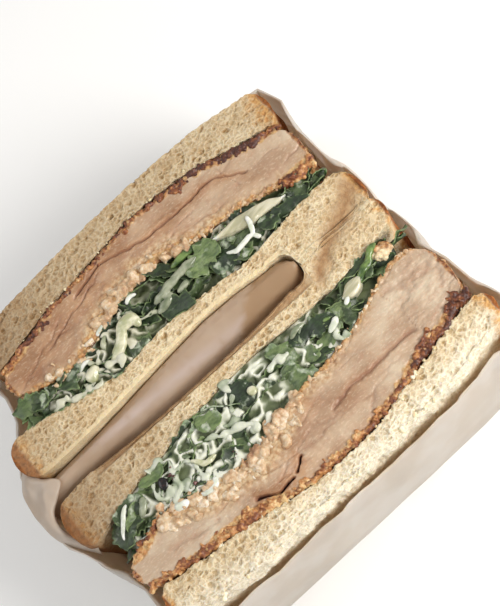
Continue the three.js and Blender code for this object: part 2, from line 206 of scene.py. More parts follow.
def tube(path, radius, flat, around):
    """A closed tube along a path. radius is one number for each point, flat the height's share."""
    path = np.asarray(path, float)
    ahead = np.gradient(path, axis=0)
    ahead /= np.linalg.norm(ahead, axis=1, keepdims=True)
    beside = np.cross(ahead, (0, 0, 1.0))
    beside /= np.maximum(np.linalg.norm(beside, axis=1, keepdims=True), 1e-9)
    above = np.cross(beside, ahead)
    turn = np.linspace(0, 2 * math.pi, around, endpoint=False)
    ring = np.cos(turn)[None, :, None] * beside[:, None]
    ring = ring + flat * np.sin(turn)[None, :, None] * above[:, None]
    points = path[:, None] + ring * np.asarray(radius)[:, None, None]
    index = np.arange(len(path) * around).reshape(len(path), around)
    faces = bands(index).tolist() + [index[0].tolist(), index[-1][::-1].tolist()]
    return points.reshape(-1, 3), faces


def curve_through(knots, count):
    """count points on a smooth curve through a few points."""
    knots = np.array(knots, float)
    padded = np.concatenate([[2 * knots[0] - knots[1]], knots, [2 * knots[-1] - knots[-2]]])
    t = np.linspace(0, len(knots) - 1.0001, count)
    i = t.astype(int)
    f = (t - i)[:, None]
    a, b, c, d = (padded[i + k] for k in range(4))
    return b + 0.5 * f * (c - a + f * (2 * a - 5 * b + 4 * c - d + f * (3 * (b - c) + d - a)))


def taken(shape):
    """Points and faces of a bmesh, which is freed."""
    points = np.array([v.co[:] for v in shape.verts])
    faces = [[v.index for v in f.verts] for f in shape.faces]
    shape.free()
    return points, faces


def ball(rounds):
    """Points and faces of a ball of radius 1."""
    shape = bmesh.new()
    bmesh.ops.create_icosphere(shape, subdivisions=rounds, radius=1.0)
    return taken(shape)


def normals_of(points, faces):
    """Each point's normal, from the faces round it."""
    total = np.zeros_like(points)
    triangles = np.array([t for f in faces for t in zip([f[0]] * (len(f) - 2), f[1:-1], f[2:])])
    a, b, c = (points[triangles[:, k]] for k in range(3))
    normal = np.cross(b - a, c - a)
    for k in range(3):
        np.add.at(total, triangles[:, k], normal)
    return total / np.maximum(np.linalg.norm(total, axis=1, keepdims=True), 1e-12)


def pushed(points, faces, by):
    """Points moved along their normals, each by its own length."""
    return points + normals_of(points, faces) * by[:, None]


def srgb(red, green, blue):
    """A colour as the photograph shows it, from 0 to 255, as a shader's colour."""
    channel = lambda v: v / 12.92 if v <= 0.04045 else ((v + 0.055) / 1.055) ** 2.4
    return (*(channel(v / 255) for v in (red, green, blue)), 1.0)


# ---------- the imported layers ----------

def tree_of(node):
    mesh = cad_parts[node].data
    points = [v.co / MM for v in mesh.vertices]
    return BVHTree.FromPolygons(points, [tuple(f.vertices) for f in mesh.polygons])


def corners(node):
    low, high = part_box(node)
    return np.array(low) / MM, np.array(high) / MM


TREES = {name: tree_of(name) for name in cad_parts}
CUT = corners("outer_bread_a")[1][2] - 0.2  # the height of the cut faces
LEVELS = np.array([0.01, 0.05, 0.12, 0.25, 0.4, 0.55, 0.7, 0.85, 0.97])  # shares of a layer's height
READ_STEP = 1.0  # between the rays along X
FACET = 2.6  # the bell, in rays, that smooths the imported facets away


def hit(node, x, z, side, from_y=None):
    """Where a ray along Y meets the node, coming from side +1 or -1, or None."""
    start = Vector((x, side * FAR if from_y is None else from_y, z))
    place = TREES[node].ray_cast(start, Vector((0, -side, 0)))[0]
    return None if place is None else place.y


def middle_plane():
    """Y of the plane between the two halves: halfway across the open gap, below the fold's crown."""
    x, z, faces = 0, 20, []
    for side in (1, -1):
        far = hit("inner_bread", x, z, side)
        faces.append(hit("inner_bread", x, z, side, far - side * 0.5))
    return sum(faces) / 2


MIDDLE = middle_plane()


class Layer:
    """A layer's two faces, as functions of x and the share of its height.

    side is +1 for half A and -1 for half B. out is the distance from the middle plane.
    """

    def __init__(self, node, side, end_radius):
        self.node, self.side, self.end_radius, self.top = node, side, end_radius, CUT
        low, high = corners(node)
        self.foot = low[2]
        heights = self.foot + LEVELS * (CUT - self.foot)
        self.x = np.arange(low[0] - 1, high[0] + 1, READ_STEP)
        near, far, self.ends = [], [], []
        for z in heights:
            rows = np.array([self.read(x, z) for x in self.x])
            found = np.flatnonzero(~np.isnan(rows[:, 0]))
            first, last = self.x[found[0]] - READ_STEP / 2, self.x[found[-1]] + READ_STEP / 2
            inside = np.clip(self.x, first + end_radius, last - end_radius)
            self.ends.append((first, last))
            near.append(np.interp(inside, self.x[found], rows[found, 0]))
            far.append(np.interp(inside, self.x[found], rows[found, 1]))
        self.near = blurred(np.array(near), FACET)
        self.far = blurred(np.array(far), FACET)
        self.ends = np.array(self.ends)

    def read(self, x, z):
        """How far out the near and the far face lie, from one ray each way."""
        far = hit(self.node, x, z, self.side)
        if far is None:
            return np.nan, np.nan
        near = self.near_hit(x, z, far)
        far, near = (self.side * (y - MIDDLE) for y in (far, near))
        return max(near, 0.0), far

    def near_hit(self, x, z, _):
        return hit(self.node, x, z, -self.side)

    def across(self, table, x, share):
        """table at (x, share), for one share and many x."""
        row = [np.interp(share, LEVELS, table[:, i]) for i in range(table.shape[1])]
        return np.interp(x, self.x, row)

    def many(self, table, x, share):
        """table at many places (x, share)."""
        i = np.clip((x - self.x[0]) / READ_STEP, 0, len(self.x) - 1.001)
        j = np.interp(share, LEVELS, np.arange(len(LEVELS)))
        j = np.minimum(j, len(LEVELS) - 1.001)
        a, b = i.astype(int), j.astype(int)
        u, v = i - a, j - b
        low = table[b, a] * (1 - u) + table[b, a + 1] * u
        high = table[b + 1, a] * (1 - u) + table[b + 1, a + 1] * u
        return low * (1 - v) + high * v

    def span(self, share):
        return [np.interp(share, LEVELS, self.ends[:, k]) for k in (0, 1)]

    def faces(self, x, share):
        return self.across(self.near, x, share), self.across(self.far, x, share)


BRIDGE_TAPER = 9.0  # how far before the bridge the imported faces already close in
GAP_LAST = 33.6  # where the gap between the halves ends, along X
GAP_END = 4.0  # the length over which the gap's end rounds off
BRIDGE_OVERLAP = 1.4  # how far each half runs into the other where they are one piece


class Slice(Layer):
    """Half of the inner slice. Near the cut it runs on to the other half at one end."""

    def __init__(self, side, end_radius):
        super().__init__("inner_bread", side, end_radius)
        shares = np.linspace(0.05, 0.97, 40)
        near_end = self.x[-1] - 14
        shut = [self.read(near_end, self.foot + s * (CUT - self.foot))[0] < 0.6 for s in shares]
        self.bridge_foot = shares[np.flatnonzero(shut)[0]]
        top = [self.read(x, CUT - 2)[0] for x in self.x]
        closed = [i for i, near in enumerate(top) if near < 0.6 and self.x[i] > 0]
        solid = self.x > self.x[closed[0]] - BRIDGE_TAPER
        open_until = np.flatnonzero(~solid)[-1]
        for row in np.flatnonzero(LEVELS > self.bridge_foot - 0.05):
            self.near[row, solid] = self.near[row, open_until - 2]

    def near_hit(self, x, z, far):
        """The other half is the same node, so this ray starts just inside the far face."""
        return hit(self.node, x, z, self.side, far - self.side * 0.05)

    def faces(self, x, share):
        near, far = super().faces(x, share)
        round_off = np.clip((x - GAP_LAST) / GAP_END + 1, 0, 1)
        shut = 1 - (1 - round_off**2.6) ** (1 / 2.6)
        shut = shut * smoothstep(self.bridge_foot - 0.02, self.bridge_foot + 0.02, share)
        return near * (1 - shut) - BRIDGE_OVERLAP * (shut > 0.98), far


class Filling:
    """The room between a half's slice and its chicken, with faces and ends like a layer's."""

    def __init__(self, node, bread, chicken, top):
        self.node, self.side, self.bread, self.chicken, self.top = node, bread.side, bread, chicken, top
        low, high = corners(node)
        self.foot, self.end_radius = low[2], 3.0
        self.first, self.last = low[0] + 2.5, high[0] - 2.5

    def span(self, _):
        return self.first, self.last

    def room(self, x, z):
        """How far out the slice ends and the chicken begins, at places (x, z)."""
        slice_share = (z - self.bread.foot) / (CUT - self.bread.foot)
        meat_share = (z - self.chicken.foot) / (CUT - self.chicken.foot)
        near = self.bread.many(self.bread.far, x, slice_share)
        far = self.chicken.many(self.chicken.near, x, meat_share)
        return near, np.maximum(far, near + 0.8)

    def faces(self, x, share):
        near, far = self.room(x, self.foot + share * (self.top - self.foot) + 0 * x)
        return near + 0.1, far - 0.1


# ---------- a layer as a fine mesh ----------

def stations(start, end, end_radius, step):
    """Places along X: step apart, and closer together where the ends round off."""
    turn = end_radius * (1 - np.cos(np.linspace(0, math.pi / 2, int(1.3 * end_radius / step) + 2)))
    count = int((end - start - 2 * end_radius) / step)
    between = np.linspace(start + end_radius, end - end_radius, count)
    return np.concatenate([start + turn[:-1], between, end - turn[:-1][::-1]])


def heights_down(step, depth):
    """Distances below the cut face down to the foot, with steps that grow."""
    found = [0.0]
    while found[-1] < depth:
        found.append(found[-1] + step)
        step = min(step * 1.16, 3.0)
    found[-1] = depth
    return np.array(found)


def loaf_rings(layer, step, across):
    """Rings of points (x, out, z), one for each station along X, and how many points a wall has.

    Each ring goes up the near wall, across the cut face and down the far wall.
    """
    down = heights_down(step, layer.top - layer.foot)
    start, end = layer.span(1.0)
    xs = stations(start, end, layer.end_radius, step)
    even = (xs - start) / (end - start)
    walls = [], []
    for depth in down[::-1]:
        share = 1 - depth / (layer.top - layer.foot)
        first, last = layer.span(share)
        x = first + even * (last - first)
        near, far = layer.faces(x, share)
        to_end = np.minimum(x - first, last - x)
        keep = np.sqrt(np.clip(1 - (1 - np.clip(to_end / layer.end_radius, 0, 1)) ** 2, 0, 1))
        middle, half = (near + far) / 2, np.maximum((far - near) / 2, 0.15) * keep
        for wall, out in zip(walls, (middle - half, middle + half)):
            wall.append(np.stack([x, out, np.full_like(x, layer.top - depth)], -1))
    near, far = (np.array(wall).transpose(1, 0, 2) for wall in walls)
    t = np.linspace(0, 1, across + 1)[1:-1][None, :, None]
    cut = near[:, -1:, :] * (1 - t) + far[:, -1:, :] * t
    return np.concatenate([near, cut, far[:, ::-1, :]], 1), len(down)


def skin_over(rings, rows, flipped):
    """The rings as one closed skin, whose walls meet at both ends: its points and its faces."""
    columns, around = rings.shape[:2]
    index = np.arange(columns * around).reshape(columns, around)
    for c in (0, columns - 1):
        index[c, rows:around - rows] = index[c, rows - 1]
        index[c, around - rows:] = index[c, :rows][::-1]
    used, flat = np.unique(index, return_inverse=True)
    quads = bands(flat.reshape(index.shape))
    if flipped:
        quads = quads[:, ::-1]
    faces = [tuple(dict.fromkeys(q)) for q in quads.tolist()]
    return rings.reshape(-1, 3)[used], [f for f in faces if len(f) > 2]


def loaf(name, layer, step, across, relief, material, slot):
    """A layer as one closed mesh: two walls, a cut face with relief, rounded ends and a foot.

    relief(where) gives how far each point moves along its normal, and the marks for the shader.
    """
    rings, rows = loaf_rings(layer, step, across)
    points, faces = skin_over(rings, rows, layer.side < 0)
    x, out = points[:, 0], points[:, 1].copy()
    points[:, 1] = MIDDLE + layer.side * out
    near, far = layer.faces(x, 1.0)
    first, last = layer.span(1.0)
    moved, marks = relief({
        "p": points, "x": x, "out": out, "is_cut": points[:, 2] > layer.top - 0.01,
        "to_near": out - near, "to_far": far - out, "to_end": np.minimum(x - first, last - x),
        "to_start": x - first, "to_last": last - x, "to_foot": points[:, 2] - layer.foot,
    })
    make_piece(name, pushed(points, faces, moved), faces, marks, material, slot, layer.node)


# ---------- shader helpers ----------

class Shader:
    """A material made by short calls. Each call returns the socket that it ends in."""

    def __init__(self, name):
        self.material = bpy.data.materials.new(name)
        self.material.use_nodes = True
        self.tree = self.material.node_tree
        self.surface = self.tree.nodes["Principled BSDF"]

    def put(self, node, inputs):
        """Each input gets its value, as a link where the value is a socket itself."""
        for key, value in inputs.items():
            if isinstance(value, bpy.types.NodeSocket):
                self.tree.links.new(value, node.inputs[key])
            else:
                node.inputs[key].default_value = value

    def add(self, kind, inputs, **settings):
        node = self.tree.nodes.new(kind)
        for key, value in settings.items():
            setattr(node, key, value)
        self.put(node, inputs)
        return node

    def mark(self, name):
        return self.add("ShaderNodeAttribute", {}, attribute_name=name).outputs["Fac"]

    def place(self, size_mm, stretch, turn=0.0):
        """Coordinates in which size_mm is one unit, turned about Z and stretched."""
        inputs = {
            "Vector": self.add("ShaderNodeTexCoord", {}).outputs["Object"],
            "Scale": [size_mm * MM * s for s in stretch], "Rotation": (0, 0, turn)}
        return self.add("ShaderNodeMapping", inputs, vector_type="TEXTURE").outputs["Vector"]

    def noise(self, size_mm, detail=3.0, roughness=0.55, stretch=(1, 1, 1), turn=0.0):
        place = self.place(size_mm, stretch, turn)
        inputs = {"Vector": place, "Scale": 1.0, "Detail": detail, "Roughness": roughness}
        return self.add("ShaderNodeTexNoise", inputs).outputs["Fac"]

    def net(self, size_mm, warp, stretch):
        """The distance to the threads of a crooked net with meshes of size_mm."""
        place = self.place(size_mm, stretch)
        sway = self.add("ShaderNodeTexNoise", {"Vector": place, "Scale": 1.0}).outputs["Color"]
        inputs = {0: sway, 1: (warp, warp, warp), 2: place}
        bent = self.add("ShaderNodeVectorMath", inputs, operation="MULTIPLY_ADD").outputs[0]
        inputs = {"Vector": bent, "Scale": 1.0}
        return self.add("ShaderNodeTexVoronoi", inputs, feature="DISTANCE_TO_EDGE").outputs["Distance"]

    def span(self, value, low, high, to_low=0.0, to_high=1.0):
        """value from low to high as a soft step from to_low to to_high."""
        inputs = {"Value": value, "From Min": low, "From Max": high, "To Min": to_low, "To Max": to_high}
        return self.add("ShaderNodeMapRange", inputs, interpolation_type="SMOOTHSTEP").outputs["Result"]

    def patches(self, size_mm, low=0.3, high=0.7, to_low=0.0, to_high=1.0, detail=3.0):
        return self.span(self.noise(size_mm, detail), low, high, to_low, to_high)

    def maths(self, operation, a, b, clamp=False):
        return self.add("ShaderNodeMath", {0: a, 1: b}, operation=operation, use_clamp=clamp).outputs[0]

    def plus(self, a, b, clamp=False):
        return self.maths("ADD", a, b, clamp)

    def times(self, a, b):
        return self.maths("MULTIPLY", a, b)

    def mix(self, share, a, b):
        """Colour a where share is 0 and b where it is 1: sockets, or numbers from 0 to 255."""
        a, b = (srgb(*c) if isinstance(c, tuple) else c for c in (a, b))
        return self.add("ShaderNodeMix", {"Factor": share, 6: a, 7: b}, data_type="RGBA").outputs[2]

    def finished(self, colour, roughness, glow, glow_mm, bumps, bump_mm, strength, **more):
        """The material. glow is how much light spreads under its surface, and glow_mm how far."""
        inputs = {"Height": bumps, "Strength": strength, "Distance": bump_mm * MM}
        self.put(self.surface, {
            "Base Color": colour, "Roughness": roughness, "Subsurface Weight": glow,
            "Subsurface Radius": [r * MM for r in glow_mm], "Subsurface Scale": 1.0,
            "Normal": self.add("ShaderNodeBump", inputs).outputs["Normal"],
            **{key.replace("_", " "): value for key, value in more.items()}})
        return self.material


# ---------- bread ----------

def bread_material():
    """Crumb of light strands round tan hollows in painted shade, with toasted zones, browned crust,
    smooth skins and painted shade by x.
    """
    s = Shader("bread_crumb")
    fine = s.noise(0.8, 3.0, 0.6, (1.3, 1, 1))
    thread = s.span(s.net(1.3, 1.1, (1.25, 1, 1)), 0.02, 0.2, 1.0, 0.0)
    lace = s.plus(s.times(thread, 0.45), s.span(fine, 0.3, 0.7, -0.14, 0.14))
    # painted shade: the crumb is darker in its pores and tears
    light = s.maths("SUBTRACT", s.plus(lace, 0.62), s.times(s.mark("pore_shade"), 0.7), True)
    cloud = s.patches(6.0, 0.35, 0.68)
    # the crumb's colour in painted shade, for the pores
    hollow = s.mix(cloud, (178, 146, 98), (162, 128, 80))
    bright = s.mix(cloud, (236, 221, 188), (222, 201, 164))
    white = s.mix(light, (204, 184, 144), (250, 243, 223))
    crumb = s.mix(s.mark("pale"), s.mix(light, hollow, bright), white)
    # the tan of the smooth skins, which in the crease between the halves is partly painted shade
    tan = s.mix(s.patches(2.5, detail=4.0), (156, 118, 82), (192, 158, 118))
    toast = s.mix(light, (180, 122, 66), (222, 178, 118))
    crust = s.mix(s.patches(1.4, 0.35, 0.7, detail=4.0), (168, 104, 54), (112, 64, 36))
    ragged = s.times(s.patches(1.3, 0.3, 0.7, -0.5, 0.5), s.mark("toast"))
    colour = s.mix(s.mark("skin"), crumb, s.mix(fine, (226, 204, 160), (246, 230, 194)))
    colour = s.mix(s.mark("tan"), colour, tan)
    colour = s.mix(s.plus(s.mark("toast"), ragged, True), colour, toast)
    colour = s.mix(s.mark("crust"), colour, crust)
    # painted shade by x: the crumb darkens towards the slices' left ends
    colour = s.mix(s.times(s.mark("shade"), 0.5), colour, (120, 84, 52))
    rough = s.plus(s.times(thread, 0.5), s.times(fine, 0.7))
    return s.finished(colour, 0.85, 0.35, (1.4, 1.0, 0.6), rough, 0.25, 0.8, Specular_IOR_Level=0.2)


def bread_relief(seed, toast_start, toast_last, shade, pale=0.0, tan=None, skin=0.0, cap=1.8):
    """Strands and hollows in the cut face, and crust at the slice's ends and foot.

    toast_start and toast_last say how far from each end the crumb is browned, cap how wide the
    crust at its start is, shade how dark its painted shade is by x, pale how white and torn the crumb
    is at the far face, tan(x, out) is 1 on smooth tan skin, whose tan in the crease is partly
    painted shade, and skin is the width of the cream rim at the near face.
    """
    def relief(w):
        p, x = w["p"], w["x"]
        ragged = 0.5 * noise(p, 2.2, seed)
        crust = smoothstep(1.7, 0.9, np.minimum(w["to_end"], w["to_foot"]) + 0.7 * ragged)
        crust = np.maximum(crust, 0.85 * smoothstep(cap, cap - 1.4, w["to_start"] + 0.9 * ragged))
        toast = np.maximum.reduce([
            smoothstep(toast_start, 0.6, w["to_start"] + 2.2 * noise(p, 3.5, seed + 1)),
            smoothstep(toast_last, 0.6, w["to_last"] + 2.2 * noise(p, 3.5, seed + 2)),
            smoothstep(5, 0.6, w["to_foot"]),
        ])
        first, second, number = cells(swayed(p, 0.5, 1.9, 1, seed + 50), (2.2, 1.6, 1.8), seed + 3)
        pore = smoothstep(0.04, 0.42, second - first) * (0.3 + 0.7 * number)
        open_crumb = smoothstep(-0.5, 0.5, layered(p, (3.6, 2.4, 3), 2, seed + 6))
        smooth = tan(x, w["out"]) if tan else np.zeros_like(x)
        rim = bool(skin) * smoothstep(skin + 0.3, skin - 0.3, w["to_near"] + 0.8 * ragged)
        rim = rim * smoothstep(GAP_LAST, GAP_LAST - 4, x)
        crumb = (1 - crust) * np.where(w["is_cut"], 1.0, 0.7) * (1 - 0.85 * np.maximum(smooth, rim))
        hollow = pore * (0.45 + 0.55 * open_crumb) * crumb
        tears = smoothstep(0.35, 0.7, layered(p, (4.5, 2.6, 3), 2, seed + 7)) * crumb
        lumps = 0.34 * layered(p, 5.0, 3, seed + 5) - 1.1 * smooth
        fluff = 0.7 * layered(p, 3.0, 3, seed + 9) + 0.9 * layered(p, (10, 6, 6), 2, seed + 12)
        fluff += 0.8 * smoothstep(4, 0, w["to_far"]) * layered(p, (6, 8, 8), 2, seed + 13)
        moved = lumps - 0.75 * hollow - 0.5 * tears + pale * fluff
        paleness = pale * smoothstep(9, 1, w["to_far"] + 2.0 * noise(p, 4.0, seed + 8))
        marks = {
            # painted shade in the pores and tears of the crumb
            "pore_shade": np.clip(hollow + 0.3 * tears, 0, 1), "crust": crust, "toast": toast * (1 - crust),
            "pale": paleness, "tan": smooth, "skin": rim, "shade": through(shade, x),
        }
        return moved, marks
    return relief


# ---------- chicken ----------

def near_line(x, out, knots, width):
    """1 on the line through knots (x, out), falling to 0 over width beside it and past its ends."""
    first, last = knots[0][0], knots[-1][0]
    shown = smoothstep(first - 1, first + 1, x) * smoothstep(last + 1, last - 1, x)
    return shown * np.exp(-(((out - through(knots, x)) / width) ** 2))


def chicken_material():
    """Pale meat with a grain, warmer in its own patches, where shade is painted and near the batter,
    with painted glints, painted shade in its grooves, and a fried coating.
    """
    s = Shader("fried_chicken")
    groove_shade = s.mark("groove_shade")
    grain = s.noise(1.5, 4.0, 0.6, (3.0, 1, 1), 0.12)
    cloud = s.span(s.noise(8.0, stretch=(1.6, 1, 1)), 0.35, 0.68)
    pale = s.mix(cloud, (186, 162, 137), (206, 190, 166))
    # the warm colour stands partly for the meat's own tone and partly for painted shade
    warm = s.mix(cloud, (154, 114, 82), (188, 150, 116))
    meat = s.mix(s.mark("warm"), pale, warm)
    meat = s.mix(s.span(grain, 0.45, 0.75, 0.0, 0.4), meat, (176, 134, 110))
    # painted highlight: small pale glints over the meat
    painted_glints = s.span(s.noise(0.5, 3.0, 0.6, (2.4, 1, 1)), 0.5, 0.75, 0, 0.35)
    meat = s.mix(painted_glints, meat, (240, 220, 194))
    crumbly = s.mix(s.patches(1.3), (172, 128, 84), (222, 198, 158))
    soft = s.mix(s.patches(2.6, 0.5, 0.8, 0, 0.8), crumbly, (236, 220, 196))
    meat = s.mix(s.mark("golden"), meat, soft)
    # painted shade in the grooves and seams: darker the deeper the dent, near black at the bottom
    meat = s.mix(groove_shade, meat, (146, 98, 76))
    meat = s.mix(s.span(groove_shade, 0.75, 1.0), meat, (62, 34, 28))
    batter = s.mix(s.patches(1.3, 0.35, 0.65, detail=4.0), (214, 180, 128), (182, 130, 78))
    fried = s.mix(s.patches(0.8, 0.35, 0.7, detail=4.0), (154, 98, 58), (92, 52, 34))
    spread = s.plus(s.mark("brown"), s.patches(1.2, 0.3, 0.7, -0.4, 0.4), True)
    colour = s.mix(s.mark("coat"), meat, s.mix(spread, batter, fried))
    dull = s.patches(1.2, 0.3, 0.7, 0.3, 0.52)
    rough = s.plus(s.times(grain, 0.6), s.times(s.noise(0.45), 0.5))
    return s.finished(colour, dull, 0.25, (2.0, 1.3, 0.9), rough, 0.25, 0.65, Specular_IOR_Level=0.42)


def chicken_relief(seed, coat_near, coat_far, soft_batter, warm, grooves, flaky):
    """Meat with grain and grooves, and a craggy fried coating along its edges.

    coat_near and coat_far give the coating's width on the cut face as knots (x, width),
    soft_batter that of the golden zone inside it, and warm how warm the meat is by x, partly as
    its own tone and partly as painted shade.
    flaky(x, out) is 1 where the meat is torn into flakes and 0 where the knife left it smooth.
    """
    def relief(w):
        p, x, out = w["p"], w["x"], w["out"]
        ragged = layered(p, 2.4, 3, seed)
        near = smoothstep(0.35, -0.35, w["to_near"] - through(coat_near, x) - 1.4 * ragged)
        far = smoothstep(0.35, -0.35, w["to_far"] - through(coat_far, x) - 1.5 * ragged)
        end = smoothstep(0.35, -0.35, w["to_end"] - 1.2 - 0.8 * ragged)
        coat = np.maximum.reduce([near, far, end, (~w["is_cut"]).astype(float)])
        edge = np.minimum(np.minimum(w["to_near"], w["to_far"]), w["to_end"])
        patchy = layered(p, 4.0, 3, seed + 9)
        golden = smoothstep(2.4, -2.4, w["to_near"] - through(soft_batter, x) - 3.2 * patchy)
        golden = golden * w["is_cut"] * (1 - coat)
        first, _, number = cells(p, 1.9, seed + 1)
        crag = (0.75 - first) * (0.6 + 0.8 * number)
        first, _, number = cells(p, 0.9, seed + 2)
        crumbs = (0.7 - first) * (0.4 + 0.9 * number)
        crosswise = smoothstep(-0.1, 0.4, noise(p, (16, 10, 10), seed + 13))
        grain = 0.15 * (1 - crosswise) * layered(p, (5.0, 1.1, 1.5), 3, seed + 3)
        grain += 0.17 * crosswise * layered(p, (1.2, 4.5, 2.0), 3, seed + 14)
        flakes = flaky(x, out) * 0.4 * layered(p, (2.2, 1.5, 1.5), 3, seed + 4)
        wander = swayed(p, 1.1, 5.0, 3, seed + 20)
        lines = [
            depth * near_line(wander[:, 0], out + wander[:, 1] - p[:, 1], knots, width)
            for knots, width, depth in grooves
        ]
        first, second, bundle = cells(wander, (19, 6.5, 8), seed + 12)
        seam = np.exp(-(((second - first) / 0.07) ** 2)) * smoothstep(-0.3, 0.5, noise(p, 9.0, seed + 15))
        dents = (sum(lines) + 0.4 * seam) * w["is_cut"]
        # painted shade beside each groove, with patches and bundles of the meat's own tone
        stains = sum(
            depth * near_line(wander[:, 0], out, knots, 6 * width) for knots, width, depth in grooves)
        stains = 0.35 * stains + 0.35 * layered(p, (9, 5, 5), 3, seed + 11) + 0.3 * (bundle - 0.5)
        swell = 0.5 * layered(p, (14, 8, 8), 2, seed + 5) * smoothstep(0, 3, edge)
        moved = np.where(w["is_cut"], swell, 0) + grain + flakes - dents
        moved += coat * (1.1 * crag + 0.5 * crumbs - 0.3) + golden * (0.7 * crag + 0.4 * crumbs - 0.2)
        brown = smoothstep(2.4, 0.6, np.minimum(w["to_far"], w["to_end"]))
        brown = np.maximum(brown, 0.5 * smoothstep(2.5, 0.3, w["to_near"])) - 0.7 * crag
        brown = np.where(w["is_cut"], brown, 0.6 - 0.4 * crag)
        marks = {
            "coat": coat, "brown": np.clip(brown, 0, 1), "golden": 0.8 * golden,
            # painted shade in the dents of the grooves and seams
            "groove_shade": np.clip(0.6 * dents, 0, 1) * (1 - coat),
            # the meat's own warmer tone by x, and painted shade by x and beside the grooves
            "warm": np.clip(through(warm, x) + stains, 0, 1),
        }
        return moved, marks
    return relief


# ---------- greens ----------

def dressing_material(name, cream, shade, deep):
    """Thick dressing: cream where it stands high, and darker the lower it lies, which is partly
    painted shade in the low pockets and partly the greens under thin dressing.
    """
    s = Shader(name)
    height = s.mark("height")
    # the dark colours for low places are partly painted shade
    base = s.mix(s.span(height, 0.05, 0.5), deep, shade)
    base = s.mix(s.span(height, 0.4, 1.0), base, cream)
    dull = s.span(height, 0.0, 1.0, 0.6, 0.26)
    return s.finished(base, dull, 0.45, (1.8, 1.8, 1.3), s.noise(1.4), 0.3, 0.45, Specular_IOR_Level=0.4)


def leaf_material():
    """Green that runs from dark to pale by the leaf, with a painted highlight on the rims and dressing
    in places.
    """
    s = Shader("leaves")
    vein = s.noise(1.3, 3.0, 0.6, (2.5, 1, 1))
    veined = s.span(vein, 0.3, 0.7)
    dark = s.mix(veined, (32, 42, 30), (54, 71, 45))
    light = s.mix(veined, (76, 95, 57), (124, 141, 92))
    leaf = s.mix(s.span(s.mark("hue"), 0.25, 0.75), dark, light)
    # painted highlight: pale green along the leaves' rims
    rim = s.times(s.mark("rim"), s.patches(1.7, 0.35, 0.6, 0, 0.6, 2.0))
    leaf = s.mix(rim, leaf, (146, 164, 112))
    film = s.plus(s.mark("dressed"), s.span(s.noise(3.4, 3.0, 0.45), 0.3, 0.7, -0.6, 0.6), True)
    film = s.span(film, 0.45, 0.95)
    cream = s.mix(s.patches(1.8, 0.35, 0.65), (128, 144, 116), (192, 200, 178))
    dull = s.span(film, 0.0, 1.0, 0.38, 0.26)
    rough = s.plus(vein, s.times(film, 0.8))
    return s.finished(
        s.mix(film, leaf, cream), dull, 0.25, (0.8, 1.4, 0.5), rough, 0.35, 0.8, Specular_IOR_Level=0.45)


def filling_relief(seed, raised, web_at):
    """The filling's floor of lumps, and the thick dressing over it in a web with deep holes.

    raised is how high it stands and web_at how much dressing there is, both by x.
    """
    def relief(w):
        p, x = w["p"], w["x"]
        bent = swayed(p, 1.2, 4.0, 2, seed)
        first, _, number = cells(bent, (6.0, 3.8, 4), seed + 3)
        lumps = 1.2 * (0.8 - first) + 0.6 * (number - 0.5)
        strings = np.exp(-((noise(bent, (5.2, 3.4, 4), seed + 4) / 0.24) ** 2))
        drops = smoothstep(0.25, 0.6, noise(bent, (4.2, 3.2, 4), seed + 6))
        share = through(web_at, x) + 0.35 * layered(p, 8.0, 2, seed + 7)
        web = np.maximum(strings, drops) * smoothstep(0.15, 0.55, share)
        moved = through(raised, x) + lumps * (1 - web) + web * (2.0 + 0.4 * noise(p, 2.0, seed + 8))
        moved = np.where(covered(x, p[:, 1]), np.minimum(moved, -COVERED_DEPTH / 2), moved)
        edge = np.minimum(w["to_near"], w["to_far"])
        moved = np.where(w["is_cut"], moved * smoothstep(-0.2, 1.0, edge), 0.0)
        # low lumps and the walls get the dark colours: painted shade in the pockets between the leaves
        height = np.clip(0.25 + 0.2 * lumps, 0, 0.5) * (1 - web) + web
        return moved, {"height": np.where(w["is_cut"], height, 0.1)}
    return relief


LEAF_STEP = 0.55  # between the points of a leaf
LEAF_THICKNESS = 0.28
SHOWN_ON_TOP = {node: corners(node) for node in ("onion_a", "onion_b", "coating_bit_b")}
COVERED_DEPTH = 2.5  # how far under the cut the leaves stay where something lies on them


def covered(x, y):
    """Whether each place (x, y) lies under one of the pieces that are shown on top."""
    found = np.zeros(x.shape, bool)
    for node, (low, high) in SHOWN_ON_TOP.items():
        close = (x > low[0]) & (x < high[0]) & (y > low[1]) & (y < high[1])
        for k in np.flatnonzero(close):
            above = Vector((x.flat[k], y.flat[k], FAR))
            found.flat[k] |= TREES[node].ray_cast(above, Vector((0, 0, -1)))[0] is not None
    return found


def kept_in(filling, x, out, z, over=1.3):
    """Places (x, out, z) kept inside a filling's room, and under what lies on top of it."""
    near, far = filling.room(x, np.minimum(z, CUT))
    over = over * smoothstep(CUT - 0.3, CUT + 1.2, z)
    out = np.clip(out, near + 0.25 - over, np.maximum(far - 0.25, near + 0.4) + over)
    bend, rise = CUT - 0.8, 2.0  # above bend, heights are drawn in towards bend + rise
    z = np.where(z > bend, bend + rise * np.tanh((z - bend) / rise), z)
    y = MIDDLE + filling.side * out
    z = np.where(covered(x, y), np.minimum(z, CUT - COVERED_DEPTH), z)
    return np.stack([x, y, z], -1)


